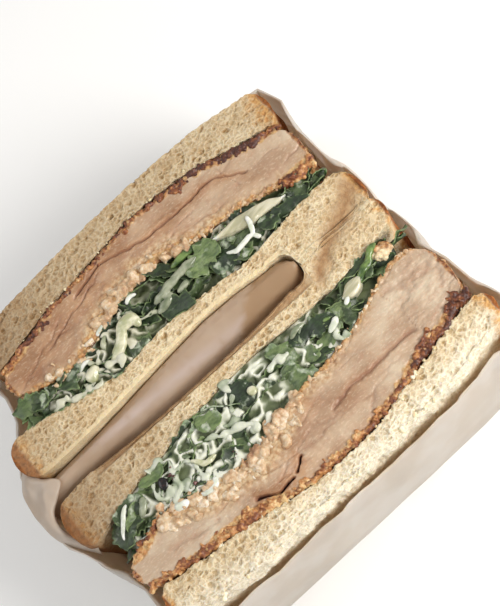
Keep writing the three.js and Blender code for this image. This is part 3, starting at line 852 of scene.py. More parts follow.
def leaf(filling, centre, length, width, heading, tilt, hue, dressed, seed):
    """A piece of leaf round centre (x, out, z): long along X, ruffled, and standing up by tilt."""
    n, m = int(length / LEAF_STEP) + 2, int(width / LEAF_STEP) + 3
    s, t = np.meshgrid(np.linspace(-1, 1, n), np.linspace(-1, 1, m), indexing="ij")
    flat = np.stack([s * length / 2, t * width / 2, 0 * s], -1).reshape(-1, 3)
    wave = lambda size, k: noise(flat, size, seed + k).reshape(n, m)
    taper = np.sqrt(np.clip(1.02 - np.abs(s) ** 2.8, 0, 1))
    jagged = 1 + (0.22 * wave((2.4, 9, 9), 1) + 0.15 * wave((1.1, 9, 9), 6)) * np.abs(t) * 2.2
    along = s * length / 2 + 0.3 * wave(2.0, 2)
    up = t * width / 2 * taper * jagged
    ruffle = 1.7 * wave((4.6, 16, 9), 4) + 0.6 * wave((2.0, 6, 9), 5)
    ruffle = ruffle + 0.5 * np.abs(wave((1.7, 2.2, 9), 7))
    off = 1.2 * wave(8.0, 3) + (0.15 + 0.85 * (0.5 + 0.5 * t) ** 2) * ruffle
    off += rng.uniform(-1, 1) * 0.8 * (t**2) + rng.uniform(-1, 1) * 1.2 * s**2
    out = up * math.cos(tilt) - off * math.sin(tilt)
    z = up * math.sin(tilt) + off * math.cos(tilt) + rng.uniform(-1, 1) * 0.6 * s
    x = along * math.cos(heading) - out * math.sin(heading)
    out = along * math.sin(heading) + out * math.cos(heading)
    grid = kept_in(filling, x + centre[0], out + centre[1], z + centre[2])
    points, faces = sheet(grid, LEAF_THICKNESS)
    # where the painted highlight along the leaf's rim goes
    to_rim = np.maximum.reduce([t, -t - 0.1 * (math.sin(tilt) > 0.8), np.abs(s) ** 6])
    rim = smoothstep(0.82, 1.0, to_rim).ravel()
    same = np.ones(2 * n * m)
    return points, faces, {"hue": same * hue, "rim": np.tile(rim, 2), "dressed": same * dressed}


LIES = {  # how a leaf lies: its lengths, widths and tilts in degrees, and how far it turns
    "edge": ((12, 26), (4.5, 7), (62, 88), 12),
    "fold": ((8, 18), (5, 9.5), (28, 60), 30),
    "flat": ((8, 18), (5, 9.5), (4, 22), 30),
}


def room_at(filling, x):
    """The filling's room just under the cut at one x."""
    return (v[0] for v in filling.room(np.array([x]), np.array([CUT - 1.0])))


def leaves(filling, count, seed, dressed_at, large):
    """Pieces of leaf over a filling's cut face: first the large ones, then ruffles, folds and flats."""
    parts = []
    for k, (x, out, length, width, heading, tilt, hue, dressed) in enumerate(large):
        heading, tilt = math.radians(heading), math.radians(tilt)
        parts.append(leaf(
            filling, (x, out, CUT + 0.5), length, width, heading, tilt, hue, dressed, seed + 700 + k))
    first, last = filling.span(1)
    for k in range(count):
        x = rng.uniform(first + 1, last - 1)
        near, far = room_at(filling, x)
        lie = rng.choice(tuple(LIES), p=(0.3, 0.38, 0.32))
        lengths, widths, tilts, turn = LIES[lie]
        share = rng.beta(1.0, 1.6) if lie == "edge" else rng.uniform(0.05, 0.95)
        length, width = rng.uniform(*lengths), rng.uniform(*widths)
        tilt = math.radians(rng.uniform(*tilts)) * rng.choice((-1, 1))
        heading = math.radians(rng.normal(0, turn))
        z = CUT + rng.uniform(-1.2, 1.3) - 0.5 * width * abs(math.sin(tilt)) - (lie == "flat") * 0.4
        hue = 0.36 + 0.5 * noise(np.array([[x, 3 * share, 0.5]]), 9.0, seed)[0] + rng.normal(0, 0.14)
        dressed = through(dressed_at, x) + rng.normal(0, 0.12)
        centre = (x, near + (far - near) * share, z)
        parts.append(leaf(
            filling, centre, length, width, heading, tilt, np.clip(hue, 0, 1), dressed, seed + 9 * k))
    return joined(parts)


STRING_POINTS = 18


def dressing_net(filling, count, density, low, high, seed):
    """Strings and blobs of thick dressing that run together over the leaves.

    density is how much of it there is by x, low and high are the strings' smallest and largest radii.
    """
    parts = []
    first, last = filling.span(1)
    xs = np.linspace(first + 1, last - 1, 400)
    weights = np.maximum(through(density, xs), 0)
    for k in range(count):
        x = rng.choice(xs, p=weights / weights.sum())
        near, far = room_at(filling, x)
        out, z = near + (far - near) * rng.uniform(0.08, 0.92), CUT + rng.uniform(-0.2, 0.7)
        way, path = rng.uniform(0, 2 * math.pi), []
        for _ in range(rng.integers(3, 7)):
            path.append((x, out, z))
            way += rng.normal(0, 0.7)
            stride = rng.uniform(1.6, 3.2)
            x, out = x + stride * math.cos(way) * 1.3, out + stride * math.sin(way)
            z += rng.uniform(-0.6, 0.4)
        path = kept_in(filling, *curve_through(path, STRING_POINTS).T, 0.6)
        radius = rng.uniform(low, high) * (1 + 0.4 * np.sin(np.linspace(0, 11, STRING_POINTS) + k))
        radius *= np.sqrt(np.clip(1.05 - np.linspace(-1, 1, STRING_POINTS) ** 4, 0.05, 1))
        parts.append(tube(path, radius, 0.6, 12))
    points, faces = fused(parts, 0.27, 4)
    points = swayed(points, 0.22, 2.0, 2, seed)
    # lower strands darker: partly painted shade, partly the greens under thin dressing
    height = smoothstep(CUT - 1.4, CUT + 1.5, points[:, 2]) + 0.35 * layered(points, 3.0, 2, seed + 4)
    return points, faces, {"height": np.clip(height, 0, 1)}


def remade(mesh, voxel, rounds):
    """A mesh as one even fine skin with soft edges: points in mm, and faces."""
    copy = bpy.data.objects.new("softening", mesh)
    bpy.context.scene.collection.objects.link(copy)
    remesh = copy.modifiers.new("even", "REMESH")
    remesh.mode, remesh.voxel_size = "VOXEL", voxel * MM
    smooth = copy.modifiers.new("soft", "SMOOTH")
    smooth.factor, smooth.iterations = 0.5, rounds
    mesh = copy.evaluated_get(bpy.context.evaluated_depsgraph_get()).to_mesh()
    points = np.array([v.co for v in mesh.vertices]) / MM
    faces = [list(f.vertices) for f in mesh.polygons]
    bpy.data.objects.remove(copy)
    return points, faces


def softened(node, voxel, rounds):
    return remade(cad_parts[node].data.copy(), voxel, rounds)


def fused(parts, voxel, rounds):
    """Many (points, faces) that run into one another, as one skin."""
    points, faces, _ = joined([(points, faces, {}) for points, faces in parts])
    mesh = bpy.data.meshes.new("fusing")
    mesh.from_pydata(points * MM, [], faces)
    return remade(mesh, voxel, rounds)


def onion_material():
    """Pale wet layers with a painted highlight along the rim."""
    s = Shader("onion")
    layer = s.noise(1.6, 3.0, 0.5, (6, 1, 1), 0.2)
    flesh = s.mix(s.span(layer, 0.35, 0.65), (176, 172, 142), (216, 210, 186))
    # painted highlight along the petal's rim
    flesh = s.mix(s.span(s.mark("rim"), 0.3, 0.9), flesh, (232, 230, 214))
    return s.finished(
        flesh, 0.24, 0.6, (2.5, 2.2, 1.6), layer, 0.2, 0.4, Coat_Weight=0.4, Coat_Roughness=0.1)


def make_onions():
    """A petal on each cut face, made wavy, with its rim drawn up a little."""
    material = onion_material()
    for node in ("onion_a", "onion_b"):
        points, faces = softened(node, 0.3, 36)
        points = swayed(points, 0.4, (6, 3, 4), 1, 80)
        low, high = corners(node)
        points[:, 2] += 0.9 * smoothstep(high[2] - 4, high[2], points[:, 2])
        to_end = np.abs(2 * (points[:, 0] - low[0]) / (high[0] - low[0]) - 1)
        # the top of the petal near its ends, where the highlight is painted
        rim = smoothstep(high[2] - 1.5, high[2], points[:, 2]) * smoothstep(0.6, 1.0, to_end)
        make_piece(node + "_petal", points, faces, {"rim": rim}, material, "onion", node)


def coating_material():
    """Fried crust, and pale batter where it broke off."""
    s = Shader("loose_coating")
    crisp = s.mix(s.patches(0.9, 0.35, 0.65, detail=4.0), (206, 158, 104), (138, 84, 46))
    paleness = s.plus(s.mark("pale"), s.patches(1.1, 0.3, 0.7, -0.3, 0.3, 2.0), True)
    colour = s.mix(paleness, crisp, (236, 216, 178))
    return s.finished(colour, 0.5, 0.25, (1.5, 0.9, 0.5), s.noise(0.5), 0.25, 0.7)


def make_coating_bit():
    """The loose lump, with crags and a pale side."""
    node = "coating_bit_b"
    points, faces = softened(node, 0.3, 3)
    first, _, number = cells(points, 1.5, 90)
    rough = 1.1 * (0.7 - first) * (0.5 + number) + 1.3 * layered(points, 3.4, 3, 91)
    points = pushed(points, faces, rough)
    low, high = corners(node)
    points[:, 2] = np.minimum(points[:, 2], high[2])
    x, y, _ = (points - (low + high) / 2).T
    pale = smoothstep(-1.4, 1.0, -0.5 * x - 0.8 * y + noise(points, 2.0, 92))
    make_piece("coating_lump", points, faces, {"pale": pale}, coating_material(), "coating", node)


# For each half: its large leaves as (x, out, length, width, heading, tilt, hue, dressed), how many
# small ones, the dressing on them by x, the core's height and its web by x, the net's count,
# density by x and radii, and the dressing's colours in the core and in the net, from high to low,
# the lower ones partly painted shade.
GREENS = {
    "a": dict(
        seed=100, count=60,
        large=[(14, 20.8, 13, 8, 10, 16, 0.72, 0.1), (41.5, 14.3, 16, 5, -16, 38, 0.1, 0.0)],
        dressed_at=[
            (-56, 0.0), (-40, 0.25), (-24, 0.25), (-8, 0.15), (12, 0.1), (26, 0.3), (40, 0.2), (56, 0.0)],
        raised=[(-56, -2.2), (-44, -1.2), (-30, -0.8), (-14, -1.2), (-6, -2.0), (10, -2.4), (50, -2.4)],
        web_at=[
            (-56, 0.1), (-46, 0.45), (-36, 0.8), (-18, 0.75), (-8, 0.35), (6, 0.2), (22, 0.6), (56, 0.1)],
        net=(15, [
            (-56, 0), (-46, 0.3), (-36, 1), (-20, 0.9), (-8, 0.2), (6, 0.05), (28, 0.5), (56, 0)],
            0.5, 1.4),
        core=((216, 213, 192), (96, 104, 70), (26, 32, 18)),
        cream=((210, 208, 188), (160, 164, 138), (104, 116, 84))),
    "b": dict(
        seed=300, count=62,
        large=[(-37, 18.2, 9, 4.5, -11, 30, 0.65, 0.0), (-15, 17.8, 8, 5, 20, 12, 0.75, 0.25)],
        dressed_at=[(-58, 0.1), (-42, 0.25), (-28, 0.3), (2, 0.3), (18, 0.2), (34, 0.1), (58, 0.0)],
        raised=[(-58, -2.2), (-44, -1.2), (-30, -0.5), (0, -0.5), (16, -1.0), (30, -1.8), (56, -2.2)],
        web_at=[
            (-58, 0.25), (-46, 0.5), (-34, 0.95), (-10, 0.8), (2, 0.7), (12, 0.15), (22, 0.45), (56, 0)],
        net=(19, [
            (-58, 0.02), (-46, 0.5), (-34, 1), (0, 0.9), (12, 0.05), (22, 0.4), (34, 0.2), (58, 0)],
            0.45, 1.25),
        core=((226, 227, 210), (104, 114, 80), (28, 34, 20)),
        cream=((212, 215, 198), (154, 164, 138), (96, 110, 82))),
}


def make_greens(fillings):
    """Each half's core of lumps and dressing, its leaves, and the net of dressing over them."""
    shred = leaf_material()
    for half, look in GREENS.items():
        filling, node, seed = fillings[half], "greens_" + half, look["seed"]
        loaf("dressing_" + half, filling, 0.35, 40, filling_relief(seed, look["raised"], look["web_at"]),
             dressing_material("dressing_" + half, *look["core"]), "greens")
        heap = leaves(filling, look["count"], seed, look["dressed_at"], look["large"])
        make_piece("leaves_" + half, *heap, shred, "greens", node)
        net = dressing_net(filling, *look["net"], seed + 40)
        cream = dressing_material("dressing_net_" + half, *look["cream"])
        make_piece("dressing_net_" + half, *net, cream, "greens", node)


# ---------- ribs, crumbs and other small things on the cut face ----------

RIB_FLATNESS = 0.72


def along_rib(knots, radius):
    """A stalk or thick strand through knots (x, y, height above the cut)."""
    path = curve_through(knots, 10 * len(knots))
    path[:, 2] += CUT
    t = np.linspace(-1, 1, len(path))
    uneven = 1 + 0.2 * noise(path, 4.5, 401) + 0.1 * noise(path, 2.0, 402)
    rounded = np.sqrt(np.clip(1.02 - np.abs(t) ** 3, 0.02, 1))
    return tube(path, radius * uneven * rounded, RIB_FLATNESS, 16)


RIBS = {  # kind: paths as knots (x, y, height above the cut), each with its radius
    "grey": [
        ([(13.9, 23.8, 0.6), (6.4, 23.2, 1.0), (0.5, 22.3, 0.9), (-4.9, 21.6, 0.0)], 1.35),
        ([(1.5, 20.2, 0.6), (-5.7, 18.4, 0.1)], 1.25),
        ([(7.2, 20.0, 0.9), (2.4, 19.0, 0.6)], 1.0),
        ([(17.4, -14.2, 0.5), (20.4, -13.0, 0.9), (23.6, -13.2, 0.4)], 0.8),
        ([(-42.6, -19.4, 0.5), (-44.0, -21.5, 0.8), (-46.5, -23.4, 0.2)], 1.2),
    ],
    "cream": [
        ([(-12, 19.4, 0.3), (-12.4, 22.6, 0.9), (-16.2, 22.6, 0.9), (-19.8, 18.9, 0.5),
          (-25, 17.0, 0)], 1.9),
        ([(-29, 19.8, 0.0), (-33.5, 16.8, 0.0)], 1.9),
        ([(-1.5, -17.2, 0.6), (1.4, -18.2, 0.7)], 1.2),
        ([(-19, -24.4, 0.4), (-23.2, -24.2, 0.7), (-26, -20.5, 0.5)], 1.0),
    ],
    "white": [
        ([(31.8, 22.4, 1.5), (31.2, 19.6, 1.6), (29.8, 16.9, 1.1)], 0.85),
        ([(29.8, 16.9, 1.1), (31.0, 14.6, 0.8)], 0.75),
        ([(30.0, 16.8, 1.1), (27.7, 17.2, 0.9), (23.2, 16.7, 0.5), (20.3, 18.4, 0.2)], 0.8),
        ([(35.2, -17.8, 1.2), (37.6, -16.0, 1.2)], 0.7),
        ([(26.6, -20.2, 0.7), (29.2, -19.4, 1.0), (31.6, -18.2, 0.8)], 1.05),
        ([(-47.4, -17.8, 0.9), (-50.4, -20.2, 1.0), (-54.6, -25.0, 0.0)], 0.75),
        ([(-38.0, -27.6, -0.2), (-35.6, -28.9, 0.4), (-33.2, -28.6, 0.1)], 1.2),
        ([(-29.8, -29.6, 0.0), (-27.2, -31.2, 0.4), (-24.6, -30.4, 0.2), (-23.6, -28.6, -0.2)], 1.1),
        ([(-11.2, 27.4, 0.0), (-9.0, 28.5, 0.2), (-6.8, 28.0, -0.2)], 0.7),
        ([(-23.6, 26.2, -0.1), (-21.0, 27.3, 0.3), (-18.2, 27.0, -0.1)], 0.75),
        ([(-34.0, 21.2, 0.0), (-31.6, 22.3, 0.2), (-29.4, 22.2, 0.0)], 0.7),
    ],
    "green": [
        ([(5.5, 26.6, -0.2), (11.5, 26.9, 0.1), (18, 26.0, -0.3)], 1.15),
        ([(27.4, -16.4, 0.6), (30.2, -17.2, 0.7)], 0.6),
        ([(53.4, -9.6, 0.5), (51.0, -10.2, 1.2), (48.4, -12.4, 1.0), (45.2, -13.4, 0.9),
          (41.6, -15.4, 0.2)], 1.25),
    ],
}
RIB_COLOURS = {
    "grey": ((112, 122, 94), (164, 168, 144)),
    "cream": ((172, 174, 134), (226, 222, 196)),
    "white": ((206, 212, 194), (238, 238, 228)),
    "green": ((62, 88, 40), (122, 146, 80)),
}


def rib_material(name, low, high):
    s = Shader(name)
    colour = s.mix(s.span(s.noise(2.2, 3.0, 0.5, (2, 1, 1)), 0.35, 0.65), low, high)
    return s.finished(colour, 0.3, 0.4, (1.6, 1.6, 1.2), s.noise(1.1), 0.2, 0.5, Coat_Weight=0.4)


def make_ribs():
    for kind, ribs in RIBS.items():
        points, faces = fused([along_rib(knots, radius) for knots, radius in ribs], 0.25, 3)
        points = swayed(points, 0.3, 2.6, 2, 410)
        material = rib_material("rib_" + kind, *RIB_COLOURS[kind])
        make_piece("ribs_" + kind, points, faces, {}, material, "greens")


BALL = ball(2)


def crumb(place, size):
    """One rough crumb: a ball that is turned, stretched and dented."""
    points, faces = BALL
    points = points * (1 + 0.3 * noise(points + place, 0.9, 500)[:, None]) * rng.uniform(0.45, 1.7, 3)
    turn = np.array(Matrix.Rotation(rng.uniform(0, math.pi), 3, Vector(rng.normal(size=3))))
    return points @ turn * size + place, faces


def crumbs_along(layer, face, count, x_range, spread, sizes, lift, reach=0.0):
    """Crumbs along a layer's near (0) or far (1) face at the cut, fewer the farther in, up to reach."""
    parts = []
    for _ in range(count):
        x = rng.uniform(*x_range)
        edge = layer.faces(np.array([x]), 1.0)[face][0]
        drift = noise(np.array([[x, 0.5, 0.5]]), 5.0, 520 + face)[0]
        inward = reach * rng.random() ** 1.4 * max(0.0, 0.6 + 0.9 * drift)
        out = edge + (inward if face == 0 else -inward) + spread * rng.normal()
        place = np.array([x, MIDDLE + layer.side * out, CUT + rng.uniform(*lift)])
        parts.append(crumb(place, sizes[0] + (sizes[1] - sizes[0]) * rng.random() ** 3))
    return parts


def toned_material(name, roughness, glow, rough_mm, *tones):
    """Colours by the mark tone, from the first at 0 to the last at 1."""
    s = Shader(name)
    tone = s.plus(s.mark("tone"), s.patches(0.9, 0.3, 0.7, -0.22, 0.22, 4.0), True)
    colour, steps = tones[0], len(tones) - 1
    for k in range(steps):
        colour = s.mix(s.span(tone, k / steps, (k + 1) / steps), colour, tones[k + 1])
    return s.finished(colour, roughness, glow, (1.2, 0.9, 0.6), s.noise(rough_mm), 0.2, 0.7)


TONED = {  # roughness, how far light spreads in, how rough in mm, and the colours
    "fried_crumbs": (0.42, 0.25, 0.5, (76, 40, 30), (130, 76, 46), (186, 130, 78), (220, 186, 134)),
    "batter_crumbs": (0.36, 0.4, 0.8, (160, 118, 88), (192, 156, 120), (210, 184, 150), (230, 214, 192)),
    "bread_crumbs": (0.85, 0.35, 0.5, (206, 174, 124), (232, 212, 170), (246, 236, 210)),
    "dark_bits": (0.2, 0.0, 1.5, (22, 20, 20), (84, 50, 50), (140, 94, 88)),
}
# Pieces made of crumbs: name, material, slot, how patchy their tone is, how many times they are
# softened, their tone by x, and what crumbs_along takes: layer, face, count, x range, spread, sizes,
# heights from the cut, and reach.
CRUMBS = [
    ("crust_far_a", "fried_crumbs", "coating", 0.6, 3,
     [(-52, 0.45), (-30, 0.25), (-10, 0.3), (20, 0.1), (40, 0.05), (57, 0.35)],
     [("fillet_a", 1, 820, (-52, 57), 0.22, (0.22, 0.7), (-1.0, 0.0), 1.5),
      ("fillet_a", 1, 240, (-52, 57), 0.2, (0.35, 0.8), (-1.8, -0.6), -1.2),
      ("fillet_a", 1, 420, (16, 52), 0.25, (0.25, 0.8), (-0.9, 0.1), 3.0),
      ("fillet_a", 1, 200, (-50, -26), 0.25, (0.25, 0.8), (-0.9, 0.1), 2.6)]),
    ("crust_far_b", "fried_crumbs", "coating", 0.6, 2,
     [(-57, 0.45), (-30, 0.45), (0, 0.65), (20, 0.55), (36, 0.3), (62, 0.2)],
     [("fillet_b", 1, 1100, (-57, 62), 0.25, (0.22, 0.8), (-1.0, 0.05), 2.3),
      ("fillet_b", 1, 260, (-57, 62), 0.2, (0.35, 0.8), (-1.8, -0.6), -1.2),
      ("fillet_b", 1, 380, (40, 63), 0.3, (0.25, 0.9), (-0.9, 0.2), 4.5),
      ("fillet_b", 1, 420, (-48, -16), 0.3, (0.25, 0.8), (-0.9, 0.1), 3.6)]),
    ("crust_near", "fried_crumbs", "coating", 0.7, 3,
     [(-50, 0.6), (50, 0.5), (57, 0.45)],
     [("fillet_a", 0, 190, (45, 57), 0.8, (0.3, 1.0), (-0.9, 0.3)),
      ("fillet_b", 0, 60, (-54, -42), 0.6, (0.3, 0.9), (-0.8, 0.2), 1.5)]),
    ("batter_near_a", "batter_crumbs", "coating", 0.55, 5,
     [(-38, 0.5), (12, 0.5), (46, 0.5)],
     [("fillet_a", 0, 300, (-42, 14), 0.8, (0.3, 1.5), (-1.2, 0.1), 4.5),
      ("fillet_a", 0, 220, (12, 46), 0.4, (0.22, 0.6), (-0.9, 0.0), 2.5)]),
    ("batter_near_b", "batter_crumbs", "coating", 0.55, 5,
     [(-42, 0.6), (6, 0.5), (60, 0.5)],
     [("fillet_b", 0, 380, (-44, 8), 0.9, (0.3, 1.7), (-1.2, 0.1), 7.5),
      ("fillet_b", 0, 220, (6, 60), 0.4, (0.22, 0.6), (-0.9, 0.0), 2.0)]),
    ("crumbs_outer_b", "bread_crumbs", "bread", 0.45, 2,
     [(-56, 0.8), (62, 0.8)],
     [("slice_outer_b", 1, 60, (-56, 62), 0.5, (0.3, 0.9), (-1.4, -0.3))]),
    ("crumbs_inner", "bread_crumbs", "bread", 0.45, 2,
     [(-56, 0.5), (62, 0.6)],
     [("slice_outer_a", 0, 90, (-50, 55), 0.5, (0.2, 0.55), (-0.8, 0.0)),
      ("slice_outer_b", 0, 90, (-52, 60), 0.5, (0.2, 0.55), (-0.8, 0.0))]),
]
DARK_BIT = np.array([-35.8, -20.6, CUT + 0.9])
DARK_BIT_RADII = (1.9, 1.45, 0.6)
DARK_BIT_TURN = math.radians(70)
PURPLE_BITS = [(-30.1, -25.9), (-31.8, -18.4), (-15.2, -27.6), (-33.4, -22.6), (-26, 24.6)]


def make_crumbs_piece(name, parts, tone_at, patchy, material, slot, rounds=2, voxel=0.26):
    """Crumbs run together into one piece. tone_at is the tone by x, rounds how soft they are."""
    points, faces = fused(parts, voxel, rounds)
    points = pushed(points, faces, 0.4 * layered(points, 1.5, 2, 531))
    patches = layered(points, 3.2, 3, 530) + 0.7 * noise(points, (10, 4, 6), 534)
    tone = np.clip(through(tone_at, points[:, 0]) + patchy * patches, 0, 1)
    make_piece(name, points, faces, {"tone": tone}, material, slot)


def make_crumbs(layers):
    materials = {name: toned_material(name, *look) for name, look in TONED.items()}
    for name, material, slot, patchy, rounds, tone_at, rows in CRUMBS:
        parts = [part for layer, *row in rows for part in crumbs_along(layers[layer], *row)]
        make_crumbs_piece(name, parts, tone_at, patchy, materials[material], slot, rounds)
    make_dark_bits(materials["dark_bits"])


def make_dark_bits(material):
    """The dark oval bit, and small purple ones in clusters."""
    points, faces = ball(4)
    points = points * DARK_BIT_RADII @ np.array(Matrix.Rotation(-DARK_BIT_TURN, 3, "Z")) + DARK_BIT
    points = points + 0.08 * noise(points, 1.5, 77)[:, None]
    make_piece("dark_seed", points, faces, {"tone": np.zeros(len(points))}, material, "greens")
    parts = []
    for x, y in PURPLE_BITS:
        for _ in range(4):
            place = (x + rng.normal(0, 0.9), y + rng.normal(0, 0.9), CUT + rng.uniform(-0.2, 0.7))
            parts.append(crumb(np.array(place), rng.uniform(0.2, 0.5)))
    make_crumbs_piece("purple_bits", parts, [(-60, 0.65), (60, 0.65)], 0.3, material, "greens", voxel=0.2)


# ---------- paper ----------

FOOD = [name for name in TREES if name != "paper_wrap"]
LEAN = 5.0  # how far the paper's rim falls in towards the food
LEAN_LAST = 6.0  # how much farther it does so at the uncut end
PAPER_GAP = 1.7  # between the leaning paper and the solids of the food
FOLD_HALF = 6.0  # half the fold's width across the gap
FOLD_PACKED = 30.5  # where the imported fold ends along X
FOLD_REACH = 34.4  # the uncut end of the inner slice, where the paper's fold ends
HALVINGS = 5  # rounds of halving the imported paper's long edges


def paper_material():
    """White outside, tan inside and in the fold, with some light coming through, and a painted
    highlight band along the fold.
    """
    s = Shader("greaseproof_paper")
    cloud = s.patches(16, 0.35, 0.65)
    white = s.mix(cloud, (226, 218, 206), (238, 234, 226))
    inside = s.mix(cloud, (196, 170, 144), (212, 188, 164))
    inside = s.mix(s.mark("double"), inside, (192, 160, 126))
    # painted highlight: a pale band along the fold
    inside = s.mix(s.mark("painted_highlight"), inside, (232, 214, 206))
    creases = s.noise(5.0, 2.0, 0.5, (1, 1, 2))
    colour = s.mix(s.mark("tan"), white, inside)
    s.finished(colour, 0.38, 0.2, (2.0, 1.4, 1.0), creases, 0.5, 0.25, Specular_IOR_Level=0.45)
    passed = s.add("ShaderNodeBsdfTranslucent", {"Color": srgb(226, 206, 186)})
    inputs = {"Fac": 0.4, 1: s.surface.outputs[0], 2: passed.outputs[0]}
    both = s.add("ShaderNodeMixShader", inputs).outputs[0]
    s.put(s.tree.nodes["Material Output"], {"Surface": both})
    return s.material


def finely_split(node, longest):
    """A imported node's mesh with its long edges halved again and again: points in mm, and faces."""
    shape = bmesh.new()
    shape.from_mesh(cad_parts[node].data)
    bmesh.ops.remove_doubles(shape, verts=shape.verts, dist=1e-6)
    for _ in range(HALVINGS):
        long = [e for e in shape.edges if e.calc_length() > longest * MM]
        bmesh.ops.subdivide_edges(shape, edges=long, cuts=1)
        bmesh.ops.triangulate(shape, faces=shape.faces)
    points, faces = taken(shape)
    return points / MM, faces


def room_inside(point, inward, reach):
    """How far a point can move inward before it meets food, up to reach."""
    start = Vector(point)
    found = [TREES[node].ray_cast(start, inward, reach)[3] for node in FOOD]
    return min([reach] + [d for d in found if d is not None])


def eased(values, faces, rounds=4):
    """Values at a mesh's points, lowered to the lowest near them and then evened out."""
    edges = np.array([(f[k - 1], f[k]) for f in faces for k in range(len(f))])
    for _ in range(rounds):
        lowest = values.copy()
        np.minimum.at(lowest, edges[:, 0], values[edges[:, 1]])
        values = lowest
    shares = np.maximum(np.bincount(edges[:, 0], minlength=len(values)), 1)
    for _ in range(rounds):
        near = np.bincount(edges[:, 0], values[edges[:, 1]], len(values)) / shares
        values = 0.5 * (values + near)
    return values


def fold_moved(points, is_fold, across, start):
    """How the fold moves: its crown is raised, hollowed and drawn along to the slice's uncut end."""
    x, _, z = points.T
    crown = is_fold * smoothstep(36, 46, z)
    stretch = crown * smoothstep(14, 29, x) * (FOLD_REACH - FOLD_PACKED)
    rise = crown * (1.3 + 3.0 * across + 2.1 * across**2) * smoothstep(start + 4, start + 14, x)
    rise += 2.3 * crown * smoothstep(10, 30, x) + 0.8 * crown * smoothstep(22, 30, x)
    return np.stack([stretch, 0 * x, rise], -1)


def leaned(points, faces, is_fold, centre):
    """How the walls move: in towards the food as far as there is room, and crumpled."""
    x, _, z = points.T
    inward = centre - points
    inward[:, 2] = 0
    inward /= np.maximum(np.linalg.norm(inward, axis=1, keepdims=True), 1e-9)
    lean = (LEAN + LEAN_LAST * smoothstep(35, 60, x)) * smoothstep(8, 46, z) * ~is_fold
    free = np.array([
        max(0.0, room_inside(point, Vector(way), most + PAPER_GAP) - PAPER_GAP) if most > 0.3 else 0.0
        for point, way, most in zip(points, inward, lean)])
    free = eased(np.where(is_fold, lean.max(), free), faces) * ~is_fold
    crumple = sum(
        0.9 * (0.5 - np.minimum(cells(points + 9 * k, (22, 22, 14), 60 + k)[0], 1)) for k in range(2))
    crumple = np.clip(0.3 + crumple + 0.5 * noise(points, (16, 16, 10), 66), 0, 1.3)
    return inward * (free - crumple * smoothstep(1.5, 8, z) * ~is_fold)[:, None]


def make_paper():
    """The wrap with its leaning walls and its fold in the gap, and the flap at the fold's end."""
    points, faces = finely_split("paper_wrap", 3.0)
    low, high = corners("paper_wrap")
    x, y, z = points.T
    across = (y - MIDDLE) / FOLD_HALF
    is_fold = (np.abs(across) < 1.35) & (x < high[0] - 14) & (x > low[0] + 3.5) & (z > 1.5)
    moved = points + fold_moved(points, is_fold, across, low[0])
    moved += leaned(points, faces, is_fold, (low + high) / 2)
    double = smoothstep(-0.2, 0.2, x - 11 - 1.25 * (y - 0.8)) * is_fold
    moved[:, 2] -= 0.4 * double
    # painted highlight: a pale band along the fold's crown, left of the doubled part
    painted_highlight = np.exp(-(((y - MIDDLE + 0.6 + 0.03 * x) / 1.3) ** 2)) * smoothstep(-52, -34, x) * (1 - double)
    painted_highlight *= 0.75 + 0.4 * noise(points, (16, 2.5, 9), 67)
    marks = {"tan": is_fold * 1.0, "double": double, "painted_highlight": np.clip(painted_highlight * is_fold, 0, 1)}
    material = paper_material()
    make_piece("paper", moved, faces, marks, material, "paper", "paper_wrap")
    points, faces = flap_sheet()
    marks = {"tan": np.full(len(points), 0.55)}
    make_piece("paper_flap", points, faces, marks, material, "paper", "paper_wrap")


# The flap's two long edges as knots (x from the wrap's start, y, height from the cut).
FLAP_RIM = [(7.5, 15.5, -9), (2.4, 8, -6.5), (1.0, -1, -5.5), (2.2, -11, -7), (8.5, -20.5, -11)]
FLAP_INNER = [
    (9.5, 12.5, -6), (9.2, 6.5, -3), (13.5, 1.5, -2.6), (6.4, -5, -2.2), (6.0, -12, -3.0), (10.5, -19, -7)]
FLAP_POINTS = (70, 26)  # along the flap and across it
FLAP_THICKNESS = 0.25


def flap_sheet():
    """The flap at the fold's end: the paper that turns over the rim, in over the slices' ends."""
    start = corners("paper_wrap")[0][0]
    along, across = FLAP_POINTS
    rim, inner = (
        curve_through([(start + x, y, CUT + z) for x, y, z in knots], along)
        for knots in (FLAP_RIM, FLAP_INNER))
    t = np.linspace(0, 1, across)[None, :, None]
    grid = rim[:, None] * (1 - t) + inner[:, None] * t
    grid[..., 2] += 2.4 * np.sin(math.pi * t[..., 0]) ** 0.8
    crease = noise(grid.reshape(-1, 3), (5, 7, 5), 71).reshape(grid.shape[:2])
    grid[..., 2] += 1.1 * (0.35 - np.abs(crease))
    return sheet(grid, FLAP_THICKNESS)


# ---------- the stage, the light and the camera ----------

FLOOR_HALF = 2.0  # metres


def make_stage():
    s = Shader("pale_floor")
    s.put(s.surface, {"Base Color": (0.96, 0.96, 0.955, 1), "Roughness": 0.9})
    square = np.array([(-1, -1, 0), (1, -1, 0), (1, 1, 0), (-1, 1, 0)]) * FLOOR_HALF / MM
    floor = make_mesh("floor", square, [(0, 1, 2, 3)], {}, s.material)


def area_light(name, place, target, size, power, colour):
    light = bpy.data.lights.new(name, "AREA")
    light.shape, light.size, light.energy, light.color = "DISK", size, power, colour
    lamp = bpy.data.objects.new(name, light)
    lamp.location = place
    lamp.rotation_euler = (Vector(target) - Vector(place)).to_track_quat("-Z", "Y").to_euler()
    bpy.context.scene.collection.objects.link(lamp)


def make_lights(target):
    """A soft white surround, a warm key light beside the camera and a cool fill behind."""
    world = bpy.data.worlds.new("studio")
    world.use_nodes = True
    background = world.node_tree.nodes["Background"]
    background.inputs["Color"].default_value = (1.0, 0.985, 0.96, 1)
    background.inputs["Strength"].default_value = 0.55
    bpy.context.scene.world = world
    area_light("key", (0.32, -0.27, 0.38), target, 0.3, 2.6, (1.0, 0.97, 0.93))
    area_light("fill", (-0.5, 0.3, 0.6), target, 0.6, 1.5, (0.95, 0.97, 1.0))
    bpy.context.scene.view_settings.view_transform = "Standard"


